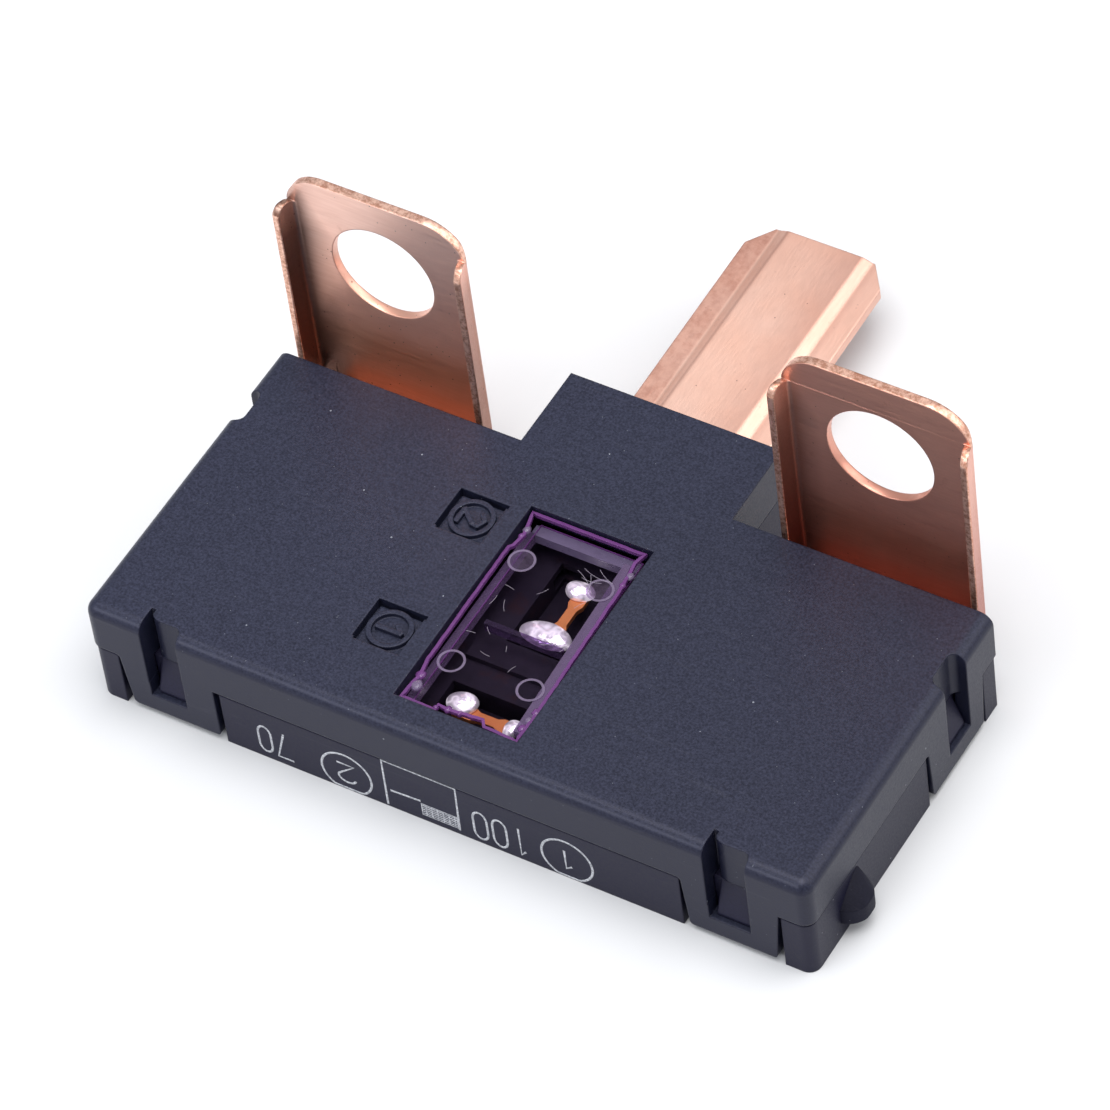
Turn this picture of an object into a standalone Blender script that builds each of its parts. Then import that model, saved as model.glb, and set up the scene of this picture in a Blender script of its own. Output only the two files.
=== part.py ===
"""Two-circuit bolt-in block fuse: snap-fit black housing, clear window, two upright bolt tabs, one flat blade, two fusible links.

Metres, +Z up. Origin at the bottom centre of the overall box. X runs along the front edge, Y from the front to the blade.
"""
import math

import bmesh
import bpy
from mathutils import Matrix, Vector

MM = 0.001

# ---------------------------------------------------------------- sizes, mm
# drawn from the front-left bottom corner of the housing, then moved by CENTRE
BODY_W, BODY_D, BODY_H = 50.0, 22.9, 8.2
PARTING_Z = 4.6
EDGE_R = 0.85
NOSE_X0, NOSE_X1, NOSE_Y1 = 17.5, 32.3, 29.0
WALL = 2.15
COVER_ROOF = 1.2
BASE_INSET = 0.1
BASE_TOP = 4.5
DECK_TOP = 5.0
NUB_R, NUB_Y, NUB_OUT = 1.5, 4.85, 1.15
NUB_Z0, NUB_Z1 = 1.25, 2.4
BLADE_TIP_Y = 48.1
CENTRE = ((BODY_W + NUB_OUT) / 2, BLADE_TIP_Y / 2)

# window and lens
WIN_X0, WIN_X1, WIN_Y0, WIN_Y1 = 20.75, 29.3, 2.3, 18.6
LENS_GAP = 0.1
LENS_TOP = 7.85
LENS_T = 0.8
LENS_WALL = 0.7
LENS_WALL_Z0 = 5.6
LENS_EAR = 0.6

# snap arms: (side, start, end along that side, slot start, slot end, end gap trims)
ARM_T = 1.0
ARM_Z0, ARM_Z1 = 0.45, 4.5
BAR_TOP = 1.85
SLOT_DEPTH = 1.0
RECESS = 1.15
FRONT_L = (2.1, 8.85, 4.05, 6.65)
FRONT_R = (41.2, 47.8, 42.95, 45.8)
SIDE_A = (14.4, 21.2, 16.8, 19.45)
WEDGE_OUT = 0.8
WEDGE_Z0, WEDGE_Z1 = 1.95, 4.4

# position pockets beside the window
POCKET = 3.2
POCKET_DEEP = 0.35
POCKET_1 = (16.27, 4.97)
POCKET_2 = (16.27, 14.65)
DISC_R = 1.35

# copper
SHEET = 0.75
SHEET_TOP = 4.45
TAB_W = 12.8
TAB_L_X0, TAB_R_X0 = 1.05, 35.45
TAB_FRONT, TAB_BACK = 25.0, 25.6
TAB_TOP = 22.5
TAB_CORNER = {"l": 2.45, "r": 3.1}
HOLE_R, HOLE_Z = 3.6, 16.44
BEND_R = 0.85
FLANGE_FRONT = 23.65
FLANGE_T, FLANGE_SPLAY = 0.5, 0.31
FLANGE_Z0 = 4.9
# seen from the side, the rounded tops of the flanges: (y, z)
FLANGE_HEAD = [(23.65, 19.75), (23.75, 20.15), (24.0, 20.45), (24.35, 20.58), (24.65, 20.5), (25.0, 20.3)]
NECK_IN = 1.55

BLADE_X0, BLADE_X1 = 19.7, 29.5
LAND_X0, LAND_X1 = 21.95, 27.3
BLADE_SLOPE, BLADE_STEP = 0.65, 0.58
BLADE_FADE = 0.6
BLADE_CH_X, BLADE_CH_Y = 1.35, 1.85
LAND_START_Y = 29.3

LINK_Z0, LINK_Z1 = 4.5, 4.85
LINK1_Y, LINK2_X = 5.2, 25.4
BLOB_Z0 = 4.9


# ---------------------------------------------------------------- helpers
def clear():
    for obj in list(bpy.data.objects):
        bpy.data.objects.remove(obj, do_unlink=True)


clear()

PARTS = bpy.data.collections.new("block_fuse")
TOOLS = bpy.data.collections.new("cutters")
bpy.context.scene.collection.children.link(PARTS)
bpy.context.scene.collection.children.link(TOOLS)


def at(x, y, z):
    return Vector(((x - CENTRE[0]) * MM, (y - CENTRE[1]) * MM, z * MM))


def finish_mesh(bm, name, collection, location=(0, 0, 0), rotation=(0, 0, 0)):
    bmesh.ops.recalc_face_normals(bm, faces=bm.faces)
    mesh = bpy.data.meshes.new(name)
    bm.to_mesh(mesh)
    bm.free()
    obj = bpy.data.objects.new(name, mesh)
    obj.location = location
    obj.rotation_euler = rotation
    collection.objects.link(obj)
    if collection is TOOLS:
        obj.hide_render = True
        obj.display_type = "WIRE"
    return obj


def extruded(points, thickness, name, collection, location, rotation):
    """A flat outline: a filled 2D curve with thickness, made a mesh and welded."""
    curve = bpy.data.curves.new(name, "CURVE")
    curve.dimensions = "2D"
    curve.fill_mode = "BOTH"
    curve.extrude = thickness * MM / 2
    spline = curve.splines.new("POLY")
    spline.points.add(len(points) - 1)
    for point, (a, b) in zip(spline.points, points):
        point.co = (a * MM, b * MM, 0.0, 1.0)
    spline.use_cyclic_u = True
    guide = bpy.data.objects.new(name + "_outline", curve)
    TOOLS.objects.link(guide)
    bpy.context.view_layer.update()
    graph = bpy.context.evaluated_depsgraph_get()
    mesh = bpy.data.meshes.new_from_object(guide.evaluated_get(graph))
    bpy.data.objects.remove(guide, do_unlink=True)
    bm = bmesh.new()
    bm.from_mesh(mesh)
    bpy.data.meshes.remove(mesh)
    bmesh.ops.remove_doubles(bm, verts=bm.verts, dist=1e-6)
    bmesh.ops.dissolve_limit(bm, angle_limit=math.radians(0.1), verts=bm.verts, edges=bm.edges)
    return finish_mesh(bm, name, collection, location, rotation)


def prism_z(points, z0, z1, name, collection=TOOLS):
    return extruded(points, z1 - z0, name, collection, at(0, 0, (z0 + z1) / 2), (0, 0, 0))


def prism_y(points_xz, y0, y1, name, collection=TOOLS):
    return extruded(points_xz, y1 - y0, name, collection, at(0, (y0 + y1) / 2, 0), (math.pi / 2, 0, 0))


def prism_x(points_yz, x0, x1, name, collection=TOOLS):
    return extruded(points_yz, x1 - x0, name, collection, at((x0 + x1) / 2, 0, 0), (math.pi / 2, 0, math.pi / 2))


def box(x0, x1, y0, y1, z0, z1, name, collection=TOOLS):
    bm = bmesh.new()
    bmesh.ops.create_cube(bm, size=1.0)
    bmesh.ops.scale(bm, vec=Vector(((x1 - x0) * MM, (y1 - y0) * MM, (z1 - z0) * MM)), verts=bm.verts)
    return finish_mesh(bm, name, collection, at((x0 + x1) / 2, (y0 + y1) / 2, (z0 + z1) / 2))


def post(cx, cy, radius, z0, z1, name, collection=TOOLS, count=32):
    bm = bmesh.new()
    bmesh.ops.create_cone(
        bm,
        cap_ends=True,
        segments=count,
        radius1=radius * MM,
        radius2=radius * MM,
        depth=(z1 - z0) * MM,
    )
    return finish_mesh(bm, name, collection, at(cx, cy, (z0 + z1) / 2))


def ring_points(cx, cy, radius, count, start=0.0, sweep=2 * math.pi, closed=True):
    steps = count if closed else count - 1
    return [
        (
            cx + radius * math.cos(start + sweep * i / steps),
            cy + radius * math.sin(start + sweep * i / steps),
        )
        for i in range(count)
    ]


def combine(obj, other, operation):
    mod = obj.modifiers.new(other.name, "BOOLEAN")
    mod.operation = operation
    mod.solver = "EXACT"
    mod.object = other


def cut(obj, other):
    combine(obj, other, "DIFFERENCE")


def join(obj, other):
    combine(obj, other, "UNION")


def material(name, colour, roughness, metallic=0.0, alpha=1.0, transmission=0.0, ior=1.5):
    mat = bpy.data.materials.new(name)
    mat.use_nodes = True
    shader = mat.node_tree.nodes["Principled BSDF"]
    shader.inputs["Base Color"].default_value = (*colour, 1.0)
    shader.inputs["Roughness"].default_value = roughness
    shader.inputs["Metallic"].default_value = metallic
    shader.inputs["Alpha"].default_value = alpha
    shader.inputs["Transmission Weight"].default_value = transmission
    shader.inputs["IOR"].default_value = ior
    return mat


def paint(obj, mat):
    obj.data.materials.append(mat)


def outline(inset):
    """The T-shaped outline of the housing, moved inwards."""
    return [
        (inset, inset),
        (BODY_W - inset, inset),
        (BODY_W - inset, BODY_D - inset),
        (NOSE_X1 - inset, BODY_D - inset),
        (NOSE_X1 - inset, NOSE_Y1 - inset),
        (NOSE_X0 + inset, NOSE_Y1 - inset),
        (NOSE_X0 + inset, BODY_D - inset),
        (inset, BODY_D - inset),
    ]


def shell_block(inset, z0, z1, radius, round_top, name):
    """The outline as a solid block with its front corners, and if asked its front and side top edges, rounded."""
    points = outline(inset)
    bm = bmesh.new()
    bottom = [bm.verts.new(at(a, b, z0)) for a, b in points]
    plan = bm.faces.new(bottom)
    raised = bmesh.ops.extrude_face_region(bm, geom=[plan])["geom"]
    bmesh.ops.translate(bm, vec=Vector((0, 0, (z1 - z0) * MM)), verts=[v for v in raised if isinstance(v, bmesh.types.BMVert)])
    front_y = at(0, inset, 0).y + 1e-6
    side_x = (at(inset, 0, 0).x + 1e-6, at(BODY_W - inset, 0, 0).x - 1e-6)
    top_z = z1 * MM - 1e-6
    edges = []
    for edge in bm.edges:
        ends = [v.co for v in edge.verts]
        upright = abs(ends[0].z - ends[1].z) > 1e-6
        at_front = all(e.y < front_y for e in ends)
        at_side = all(e.x < side_x[0] for e in ends) or all(e.x > side_x[1] for e in ends)
        if upright and at_front:
            edges.append(edge)
        if round_top and not upright and ends[0].z > top_z and (at_front or at_side):
            edges.append(edge)
    bmesh.ops.recalc_face_normals(bm, faces=bm.faces)
    bmesh.ops.bevel(
        bm,
        geom=edges,
        offset=radius * MM,
        offset_type="OFFSET",
        segments=3,
        profile=0.5,
        affect="EDGES",
        clamp_overlap=True,
    )
    return finish_mesh(bm, name, PARTS)


# ---------------------------------------------------------------- materials
BLACK = material("black_nylon", (0.012, 0.012, 0.014), 0.45)
BLACK_BASE = material("black_nylon_base", (0.012, 0.012, 0.014), 0.5)
CLEAR = material("clear_polycarbonate", (0.82, 0.76, 0.9), 0.08, 0.0, 0.35, 0.9, 1.58)
COPPER = material("copper_sheet", (0.78, 0.36, 0.22), 0.3, 1.0)
LINK = material("fusible_copper_alloy", (0.72, 0.33, 0.2), 0.35, 1.0)
TIN = material("tin_solder", (0.78, 0.77, 0.76), 0.22, 1.0)


# ---------------------------------------------------------------- top cover
cover = shell_block(0.0, PARTING_Z, BODY_H, EDGE_R, True, "top_cover")
paint(cover, BLACK)
hollow = [
    (WALL, WALL),
    (BODY_W - WALL, WALL),
    (BODY_W - WALL, BODY_D - WALL),
    (NOSE_X1 - WALL, BODY_D - WALL),
    (NOSE_X1 - WALL, NOSE_Y1 - WALL),
    (NOSE_X0 + WALL, NOSE_Y1 - WALL),
    (NOSE_X0 + WALL, BODY_D - WALL),
    (WALL, BODY_D - WALL),
]
cut(cover, prism_z(hollow, PARTING_Z - 1.0, BODY_H - COVER_ROOF, "cover_hollow"))
cut(cover, box(WIN_X0, WIN_X1, WIN_Y0, WIN_Y1, 6.0, 9.0, "cover_window"))
cut(cover, box(FRONT_L[2], FRONT_L[3], -1.0, SLOT_DEPTH, 3.0, 9.0, "slot_front_left"))
cut(cover, box(FRONT_R[2], FRONT_R[3], -1.0, SLOT_DEPTH, 3.0, 9.0, "slot_front_right"))
cut(cover, box(-1.0, SLOT_DEPTH, SIDE_A[2], SIDE_A[3], 3.0, 9.0, "slot_side_left"))
cut(cover, box(BODY_W - SLOT_DEPTH, BODY_W + 1.0, SIDE_A[2], SIDE_A[3], 3.0, 9.0, "slot_side_right"))
for tag, (px, py) in (("1", POCKET_1), ("2", POCKET_2)):
    cut(cover, box(px, px + POCKET, py, py + POCKET, BODY_H - POCKET_DEEP, 9.0, "pocket_" + tag))
    centre = (px + POCKET / 2, py + POCKET / 2)
    disc = post(*centre, DISC_R, BODY_H - POCKET_DEEP - 0.3, BODY_H - 0.1, "disc_" + tag, count=40)
    join(cover, disc)
    cut(cover, post(*centre, DISC_R - 0.25, BODY_H - POCKET_DEEP + 0.08, 9.0, "disc_face_" + tag, count=40))


# ---------------------------------------------------------------- snap arms, which flex outwards to let the cover off
def arm_outline(a, b, slot_a, slot_b, lean_a, lean_b):
    """The arm seen from outside: (along, z). lean_a and lean_b draw its two edges in towards the bottom."""
    return (
        [
            (a, ARM_Z1),
            (a + lean_a * 0.35, ARM_Z1 - 0.7),
            (a + lean_a, ARM_Z0 + 0.25),
            (a + lean_a + 0.25, ARM_Z0),
            (b - lean_b - 0.15, ARM_Z0),
            (b - lean_b, ARM_Z0 + 0.15),
            (b, ARM_Z1),
        ],
        [
            (slot_a, ARM_Z1 + 1.0),
            (slot_a, BAR_TOP),
            (slot_b, BAR_TOP),
            (slot_b, ARM_Z1 + 1.0),
        ],
    )


body, slot = arm_outline(*FRONT_L, 0.55, 0.0)
arm = prism_y(body, 0.0, ARM_T, "snap_arm_front_left", PARTS)
cut(arm, prism_y(slot, -1.0, 2.0, "arm_slot_front_left"))
paint(arm, BLACK)

body, slot = arm_outline(*FRONT_R, 0.4, 0.35)
arm = prism_y(body, 0.0, ARM_T, "snap_arm_front_right", PARTS)
cut(arm, prism_y(slot, -1.0, 2.0, "arm_slot_front_right"))
paint(arm, BLACK)

body, slot = arm_outline(*SIDE_A, 0.2, 0.2)
arm = prism_x(body, 0.0, ARM_T, "snap_arm_side_left", PARTS)
cut(arm, prism_x(slot, -1.0, 2.0, "arm_slot_side_left"))
paint(arm, BLACK)
arm = prism_x(body, BODY_W - ARM_T, BODY_W, "snap_arm_side_right", PARTS)
cut(arm, prism_x(slot, BODY_W - 2.0, BODY_W + 1.0, "arm_slot_side_right"))
paint(arm, BLACK)


# ---------------------------------------------------------------- window lens: a clear tray turned upside down
lx0, lx1 = WIN_X0 + LENS_GAP, WIN_X1 - LENS_GAP
ly0, ly1 = WIN_Y0 + LENS_GAP, WIN_Y1 - LENS_GAP
lens = box(lx0, lx1, ly0, ly1, LENS_WALL_Z0, LENS_TOP, "window_lens", PARTS)
paint(lens, CLEAR)
cut(
    lens,
    box(
        lx0 + LENS_WALL,
        lx1 - LENS_WALL,
        ly0 + LENS_WALL,
        ly1 - LENS_WALL,
        LENS_WALL_Z0 - 1.0,
        LENS_TOP - LENS_T,
        "lens_hollow",
    ),
)
join(lens, box(lx0 - LENS_EAR, lx0 + 0.3, 5.0, 16.0, 6.2, 6.85, "lens_ear_left"))
join(lens, box(lx1 - 0.3, lx1 + LENS_EAR, 5.0, 16.0, 6.2, 6.85, "lens_ear_right"))


# ---------------------------------------------------------------- base
base = shell_block(BASE_INSET, 0.0, BASE_TOP, 0.8, False, "base_housing")
paint(base, BLACK_BASE)
deck = box(2.3, 47.7, 2.3, 20.6, 3.0, DECK_TOP, "deck")
join(base, deck)
join(base, box(19.9, 29.9, 20.0, 26.8, 3.0, DECK_TOP, "deck_nose"))
for tag, (a, b, _, _) in (("left", FRONT_L), ("right", FRONT_R)):
    cut(base, box(a - 0.12, b + 0.38 if tag == "left" else b + 0.12, -1.0, RECESS, -1.0, 9.0, "recess_front_" + tag))
cut(base, box(-1.0, RECESS, SIDE_A[0] - 0.15, SIDE_A[1] + 0.15, -1.0, 9.0, "recess_side_left"))
cut(base, box(BODY_W - RECESS, BODY_W + 2.0, SIDE_A[0] - 0.15, SIDE_A[1] + 0.15, -1.0, 9.0, "recess_side_right"))

# catch wedges that the arms' bars hook under
for tag, (_, _, a, b) in (("left", FRONT_L), ("right", FRONT_R)):
    y_wall = RECESS
    profile = [
        (y_wall + 0.3, WEDGE_Z0),
        (y_wall - WEDGE_OUT, WEDGE_Z0),
        (y_wall - WEDGE_OUT, WEDGE_Z0 + 0.35),
        (y_wall, WEDGE_Z1),
        (y_wall + 0.3, WEDGE_Z1),
    ]
    join(base, prism_x(profile, a + 0.2, b - 0.2, "wedge_front_" + tag))
profile = [
    (RECESS + 0.3, WEDGE_Z0),
    (RECESS - WEDGE_OUT, WEDGE_Z0),
    (RECESS - WEDGE_OUT, WEDGE_Z0 + 0.35),
    (RECESS, WEDGE_Z1),
    (RECESS + 0.3, WEDGE_Z1),
]
join(base, prism_y(profile, SIDE_A[2] + 0.2, SIDE_A[3] - 0.2, "wedge_side_left"))
profile_right = [(BODY_W - x, z) for x, z in profile]
join(base, prism_y(profile_right, SIDE_A[2] + 0.2, SIDE_A[3] - 0.2, "wedge_side_right"))

# locating nub on the right side: a half-round rib with a pointed top
nub = bmesh.new()
nub_x = BODY_W - 0.35
nub_low, nub_high, nub_tip = [], [], None
for a, b in ring_points(nub_x, NUB_Y, NUB_R, 13, -math.pi / 2, math.pi, closed=False):
    nub_low.append(nub.verts.new(at(min(a + 0.05, BODY_W + NUB_OUT), b, NUB_Z0)))
    nub_high.append(nub.verts.new(at(min(a + 0.05, BODY_W + NUB_OUT), b, NUB_Z1)))
in_low = [nub.verts.new(at(nub_x - 0.5, NUB_Y + s * NUB_R, NUB_Z0)) for s in (1, -1)]
in_high = [nub.verts.new(at(nub_x - 0.5, NUB_Y + s * NUB_R, NUB_Z1)) for s in (1, -1)]
low, high = nub_low + in_low, nub_high + in_high
nub.faces.new(low)
tip = nub.verts.new(at(BODY_W - 0.35, NUB_Y + 0.85, 4.42))
for i in range(len(low)):
    j = (i + 1) % len(low)
    nub.faces.new((low[i], low[j], high[j], high[i]))
    nub.faces.new((high[i], high[j], tip))
join(base, finish_mesh(nub, "nub", TOOLS))

# room for the copper, which the base is moulded around
GAP = 0.08


def grown(points, gap):
    """A rectilinear outline moved outwards."""
    count = len(points)
    area = sum(points[i][0] * points[(i + 1) % count][1] - points[(i + 1) % count][0] * points[i][1] for i in range(count))
    side = 1.0 if area > 0 else -1.0
    out = []
    for i in range(count):
        p, q, r = points[i - 1], points[i], points[(i + 1) % count]
        a = Vector((q[0] - p[0], q[1] - p[1])).normalized()
        b = Vector((r[0] - q[0], r[1] - q[1])).normalized()
        out.append((q[0] + side * gap * (a.y + b.y), q[1] - side * gap * (a.x + b.x)))
    return out


LEFT_FLAT = [
    (TAB_L_X0 + NECK_IN, 3.2),
    (23.7, 3.2),
    (23.7, 7.8),
    (13.4, 7.8),
    (13.4, 24.3),
    (TAB_L_X0 + NECK_IN, 24.3),
]
RIGHT_FLAT = [
    (46.7, 3.2),
    (46.7, 24.3),
    (35.9, 24.3),
    (35.9, 13.7),
    (23.6, 13.7),
    (23.6, 10.9),
    (35.9, 10.9),
    (35.9, 7.8),
    (26.0, 7.8),
    (26.0, 3.2),
]
INNER_FLAT = [
    (LAND_X0 + 0.25, 16.0),
    (LAND_X1 - 0.25, 16.0),
    (LAND_X1 - 0.25, 27.6),
    (LAND_X0 + 0.25, 27.6),
]
for tag, flat in (("left", LEFT_FLAT), ("right", RIGHT_FLAT), ("centre", INNER_FLAT)):
    cut(base, prism_z(grown(flat, GAP), SHEET_TOP - SHEET - GAP, SHEET_TOP + GAP, "room_" + tag))
gate = [
    (BLADE_X0 - 0.1, 9.0),
    (BLADE_X0 - 0.1, SHEET_TOP - SHEET - BLADE_STEP - 0.1),
    (BLADE_X1 + 0.1, SHEET_TOP - SHEET - BLADE_STEP - 0.1),
    (BLADE_X1 + 0.1, 9.0),
]
cut(base, prism_y(gate, 27.0, 30.0, "gate_centre"))

# wells that the links lie in, and the rib between them
cut(base, box(21.8, 28.1, 4.15, 6.85, 3.2, 9.0, "well_1"))
cut(base, box(23.1, 27.1, 10.9, 17.7, 3.2, 9.0, "well_2"))
join(base, box(21.6, 28.4, 8.7, 10.1, DECK_TOP - 0.5, 5.4, "divider_rib"))


# ---------------------------------------------------------------- side terminals
def side_terminal(name, x0, flat, neck_a, neck_b):
    """Flat inner plate, bend, and the upright tab with its two stiffening flanges."""
    x1 = x0 + TAB_W
    z0, z1 = SHEET_TOP - SHEET, SHEET_TOP
    term = prism_z(flat, z0, z1, name, PARTS)
    paint(term, COPPER)
    # bend: quarter round outside, sharp inside, over the width of the neck
    r = 1.3
    bend = [(24.2, z1), (24.2, z0), (TAB_BACK - r, z0)]
    bend += [
        (TAB_BACK - r + r * math.sin(t), z0 + r - r * math.cos(t))
        for t in (math.radians(d) for d in (22.5, 45, 67.5, 90))
    ]
    bend += [(TAB_BACK, 5.9), (TAB_FRONT, 5.9), (TAB_FRONT, z1 + 0.5), (TAB_FRONT - 0.35, z1)]
    join(term, prism_x(bend, neck_a, neck_b, name + "_bend"))
    # upright tab with its flanges folded forward, a little short of square: one U-shaped strip
    bend_r, inner_r, lean = BEND_R, 0.25, FLANGE_SPLAY
    strip = [(x1 + lean, FLANGE_FRONT)]
    strip += [(x1 - bend_r + a, TAB_BACK - bend_r + b) for a, b in ring_points(0, 0, bend_r, 5, 0, math.pi / 2, False)]
    strip += [(x0 + bend_r + a, TAB_BACK - bend_r + b) for a, b in ring_points(0, 0, bend_r, 5, math.pi / 2, math.pi / 2, False)]
    strip += [
        (x0 - lean, FLANGE_FRONT),
        (x0 - lean + FLANGE_T, FLANGE_FRONT),
        (x0 + FLANGE_T, TAB_FRONT - inner_r),
        (x0 + FLANGE_T + inner_r, TAB_FRONT),
        (x1 - FLANGE_T - inner_r, TAB_FRONT),
        (x1 - FLANGE_T, TAB_FRONT - inner_r),
        (x1 + lean - FLANGE_T, FLANGE_FRONT),
    ]
    tab = prism_z(strip, FLANGE_Z0, TAB_TOP, name + "_tab")
    above = [(FLANGE_FRONT - 2, FLANGE_HEAD[0][1] - 1)] + FLANGE_HEAD + [(TAB_FRONT, TAB_TOP + 3), (FLANGE_FRONT - 2, TAB_TOP + 3)]
    cut(tab, prism_x(above, x0 - 2, x1 + 2, name + "_heads"))
    # rounded top corners
    for side, foot, turn, (a0, a1) in (("l", x0, -1, (math.pi, math.pi / 2)), ("r", x1, 1, (0.0, math.pi / 2))):
        corner = TAB_CORNER[side]
        arc = ring_points(foot - turn * corner, TAB_TOP - corner, corner, 7, a0, a1 - a0, False)
        outside = arc + [(foot - turn * corner, TAB_TOP + 3), (foot + turn * 2, TAB_TOP + 3), (foot + turn * 2, TAB_TOP - corner)]
        cut(tab, prism_y(outside, TAB_FRONT, TAB_BACK + 2, name + "_corner_" + side))
    join(term, tab)
    cx = x0 + TAB_W / 2
    hole = prism_y(ring_points(cx, HOLE_Z, HOLE_R, 64), TAB_FRONT - 1, TAB_BACK + 1, name + "_hole")
    cut(term, hole)
    return term


side_terminal("left_terminal", TAB_L_X0, LEFT_FLAT, TAB_L_X0 + NECK_IN, 13.4)
side_terminal("right_terminal", TAB_R_X0, RIGHT_FLAT, 35.9, 46.7)


# ---------------------------------------------------------------- centre terminal: blade with a raised land and stepped lips
def hat(x_a, x_b, land_a, land_b, top):
    drop = top - BLADE_STEP
    upper = [
        (x_a, drop),
        (land_a - BLADE_SLOPE, drop),
        (land_a, top),
        (land_b, top),
        (land_b + BLADE_SLOPE, drop),
        (x_b, drop),
    ]
    k = 0.25
    lower = [
        (x_b, drop - SHEET),
        (land_b + BLADE_SLOPE - k, drop - SHEET),
        (land_b - k, top - SHEET),
        (land_a + k, top - SHEET),
        (land_a - BLADE_SLOPE + k, drop - SHEET),
        (x_a, drop - SHEET),
    ]
    return upper + lower


centre = prism_y(hat(BLADE_X0, BLADE_X1, LAND_X0, LAND_X1, SHEET_TOP), LAND_START_Y, BLADE_TIP_Y, "centre_terminal", PARTS)
paint(centre, COPPER)
# the raised land fades towards the tip: the lips and the slopes' feet come up to it
bpy.context.view_layer.update()
for vert in centre.data.vertices:
    spot = centre.matrix_world @ vert.co
    x = spot.x / MM + CENTRE[0]
    if spot.y / MM + CENTRE[1] < BLADE_TIP_Y - 1e-3 or LAND_X0 - 0.01 < x < LAND_X1 + 0.01:
        continue
    spot.z += BLADE_FADE * BLADE_STEP * MM
    for edge, turn in ((LAND_X0, 1), (LAND_X1, -1)):
        if 0.01 < turn * (edge - x) < BLADE_SLOPE + 0.01:
            spot.x += turn * BLADE_FADE * BLADE_SLOPE * MM
    vert.co = centre.matrix_world.inverted() @ spot
# under the cover's wall the land is pressed a little lower
join(centre, prism_y(hat(BLADE_X0, BLADE_X1, LAND_X0, LAND_X1, SHEET_TOP - 0.05), 27.2, LAND_START_Y + 0.2, "centre_root"))
join(centre, prism_z(INNER_FLAT, SHEET_TOP - SHEET, SHEET_TOP - 0.05, "centre_inner"))
cut(
    centre,
    prism_z([(BLADE_X0 - 1, BLADE_TIP_Y - BLADE_CH_Y * 1.74), (BLADE_X0 + BLADE_CH_X, BLADE_TIP_Y), (BLADE_X0 + BLADE_CH_X, BLADE_TIP_Y + 1), (BLADE_X0 - 1, BLADE_TIP_Y + 1)], 0.0, 9.0, "tip_left"),
)
cut(
    centre,
    prism_z([(BLADE_X1 + 1, BLADE_TIP_Y - BLADE_CH_Y * 1.74), (BLADE_X1 + 1, BLADE_TIP_Y + 1), (BLADE_X1 - BLADE_CH_X, BLADE_TIP_Y + 1), (BLADE_X1 - BLADE_CH_X, BLADE_TIP_Y)], 0.0, 9.0, "tip_right"),
)


# ---------------------------------------------------------------- fusible links: strips narrowed in the middle
def link(name, a, b, across, along_x):
    mid = (a + b) / 2
    wide, thin = 0.5, 0.32
    points = [
        (a, -wide),
        (mid - 1.0, -wide),
        (mid - 0.6, -thin),
        (mid + 0.6, -thin),
        (mid + 1.0, -wide),
        (b, -wide),
        (b, wide),
        (mid + 1.0, wide),
        (mid + 0.6, thin),
        (mid - 0.6, thin),
        (mid - 1.0, wide),
        (a, wide),
    ]
    if along_x:
        points = [(u, across + v) for u, v in points]
    else:
        points = [(across + v, u) for u, v in points]
    strip = prism_z(points, LINK_Z0, LINK_Z1, name, PARTS)
    paint(strip, LINK)


link("fuse_link_1", 22.9, 27.3, LINK1_Y, True)
link("fuse_link_2", 12.0, 16.5, LINK2_X, False)


# ---------------------------------------------------------------- tin joints: low domes over the ends of the links
def dome(name, cx, cy, rx, ry, height):
    bm = bmesh.new()
    bmesh.ops.create_uvsphere(bm, u_segments=32, v_segments=16, radius=1.0)
    bmesh.ops.scale(bm, vec=Vector((rx * MM, ry * MM, height * MM)), verts=bm.verts)
    bmesh.ops.translate(bm, vec=at(cx, cy, BLOB_Z0), verts=bm.verts)
    blob = finish_mesh(bm, name, PARTS)
    cut(blob, box(cx - 5, cx + 5, cy - 5, cy + 5, BLOB_Z0 - 3, BLOB_Z0, name + "_under"))
    paint(blob, TIN)


dome("tin_joint_1a", 23.2, 5.55, 1.05, 0.95, 0.6)
dome("tin_joint_1b", 26.95, 5.15, 0.65, 0.75, 0.5)
dome("tin_joint_2a", 25.1, 12.3, 1.8, 1.05, 0.65)
dome("tin_joint_2b", 25.2, 16.2, 1.0, 0.8, 0.6)

for name in ("tin_joint_1a", "tin_joint_1b", "tin_joint_2a", "tin_joint_2b"):
    mesh = bpy.data.objects[name].data
    mesh.shade_smooth()
    mesh.set_sharp_from_angle(angle=math.radians(40))

# ---------------------------------------------------------------- what moves together
root = bpy.data.objects.new("block_fuse_root", None)
lift = bpy.data.objects.new("cover_lift", None)
lift.location = at(BODY_W / 2, BODY_D / 2, PARTING_Z)
for empty in (root, lift):
    empty.empty_display_size = 0.005
    PARTS.objects.link(empty)
bpy.context.view_layer.update()
ON_COVER = ("top_cover", "window_lens", "snap_arm_front_left", "snap_arm_front_right", "snap_arm_side_left", "snap_arm_side_right")
for obj in list(PARTS.objects):
    if obj.type == "MESH":
        parent = lift if obj.name in ON_COVER else root
        obj.parent = parent
        obj.matrix_parent_inverse = parent.matrix_world.inverted()
lift.parent = root
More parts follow.
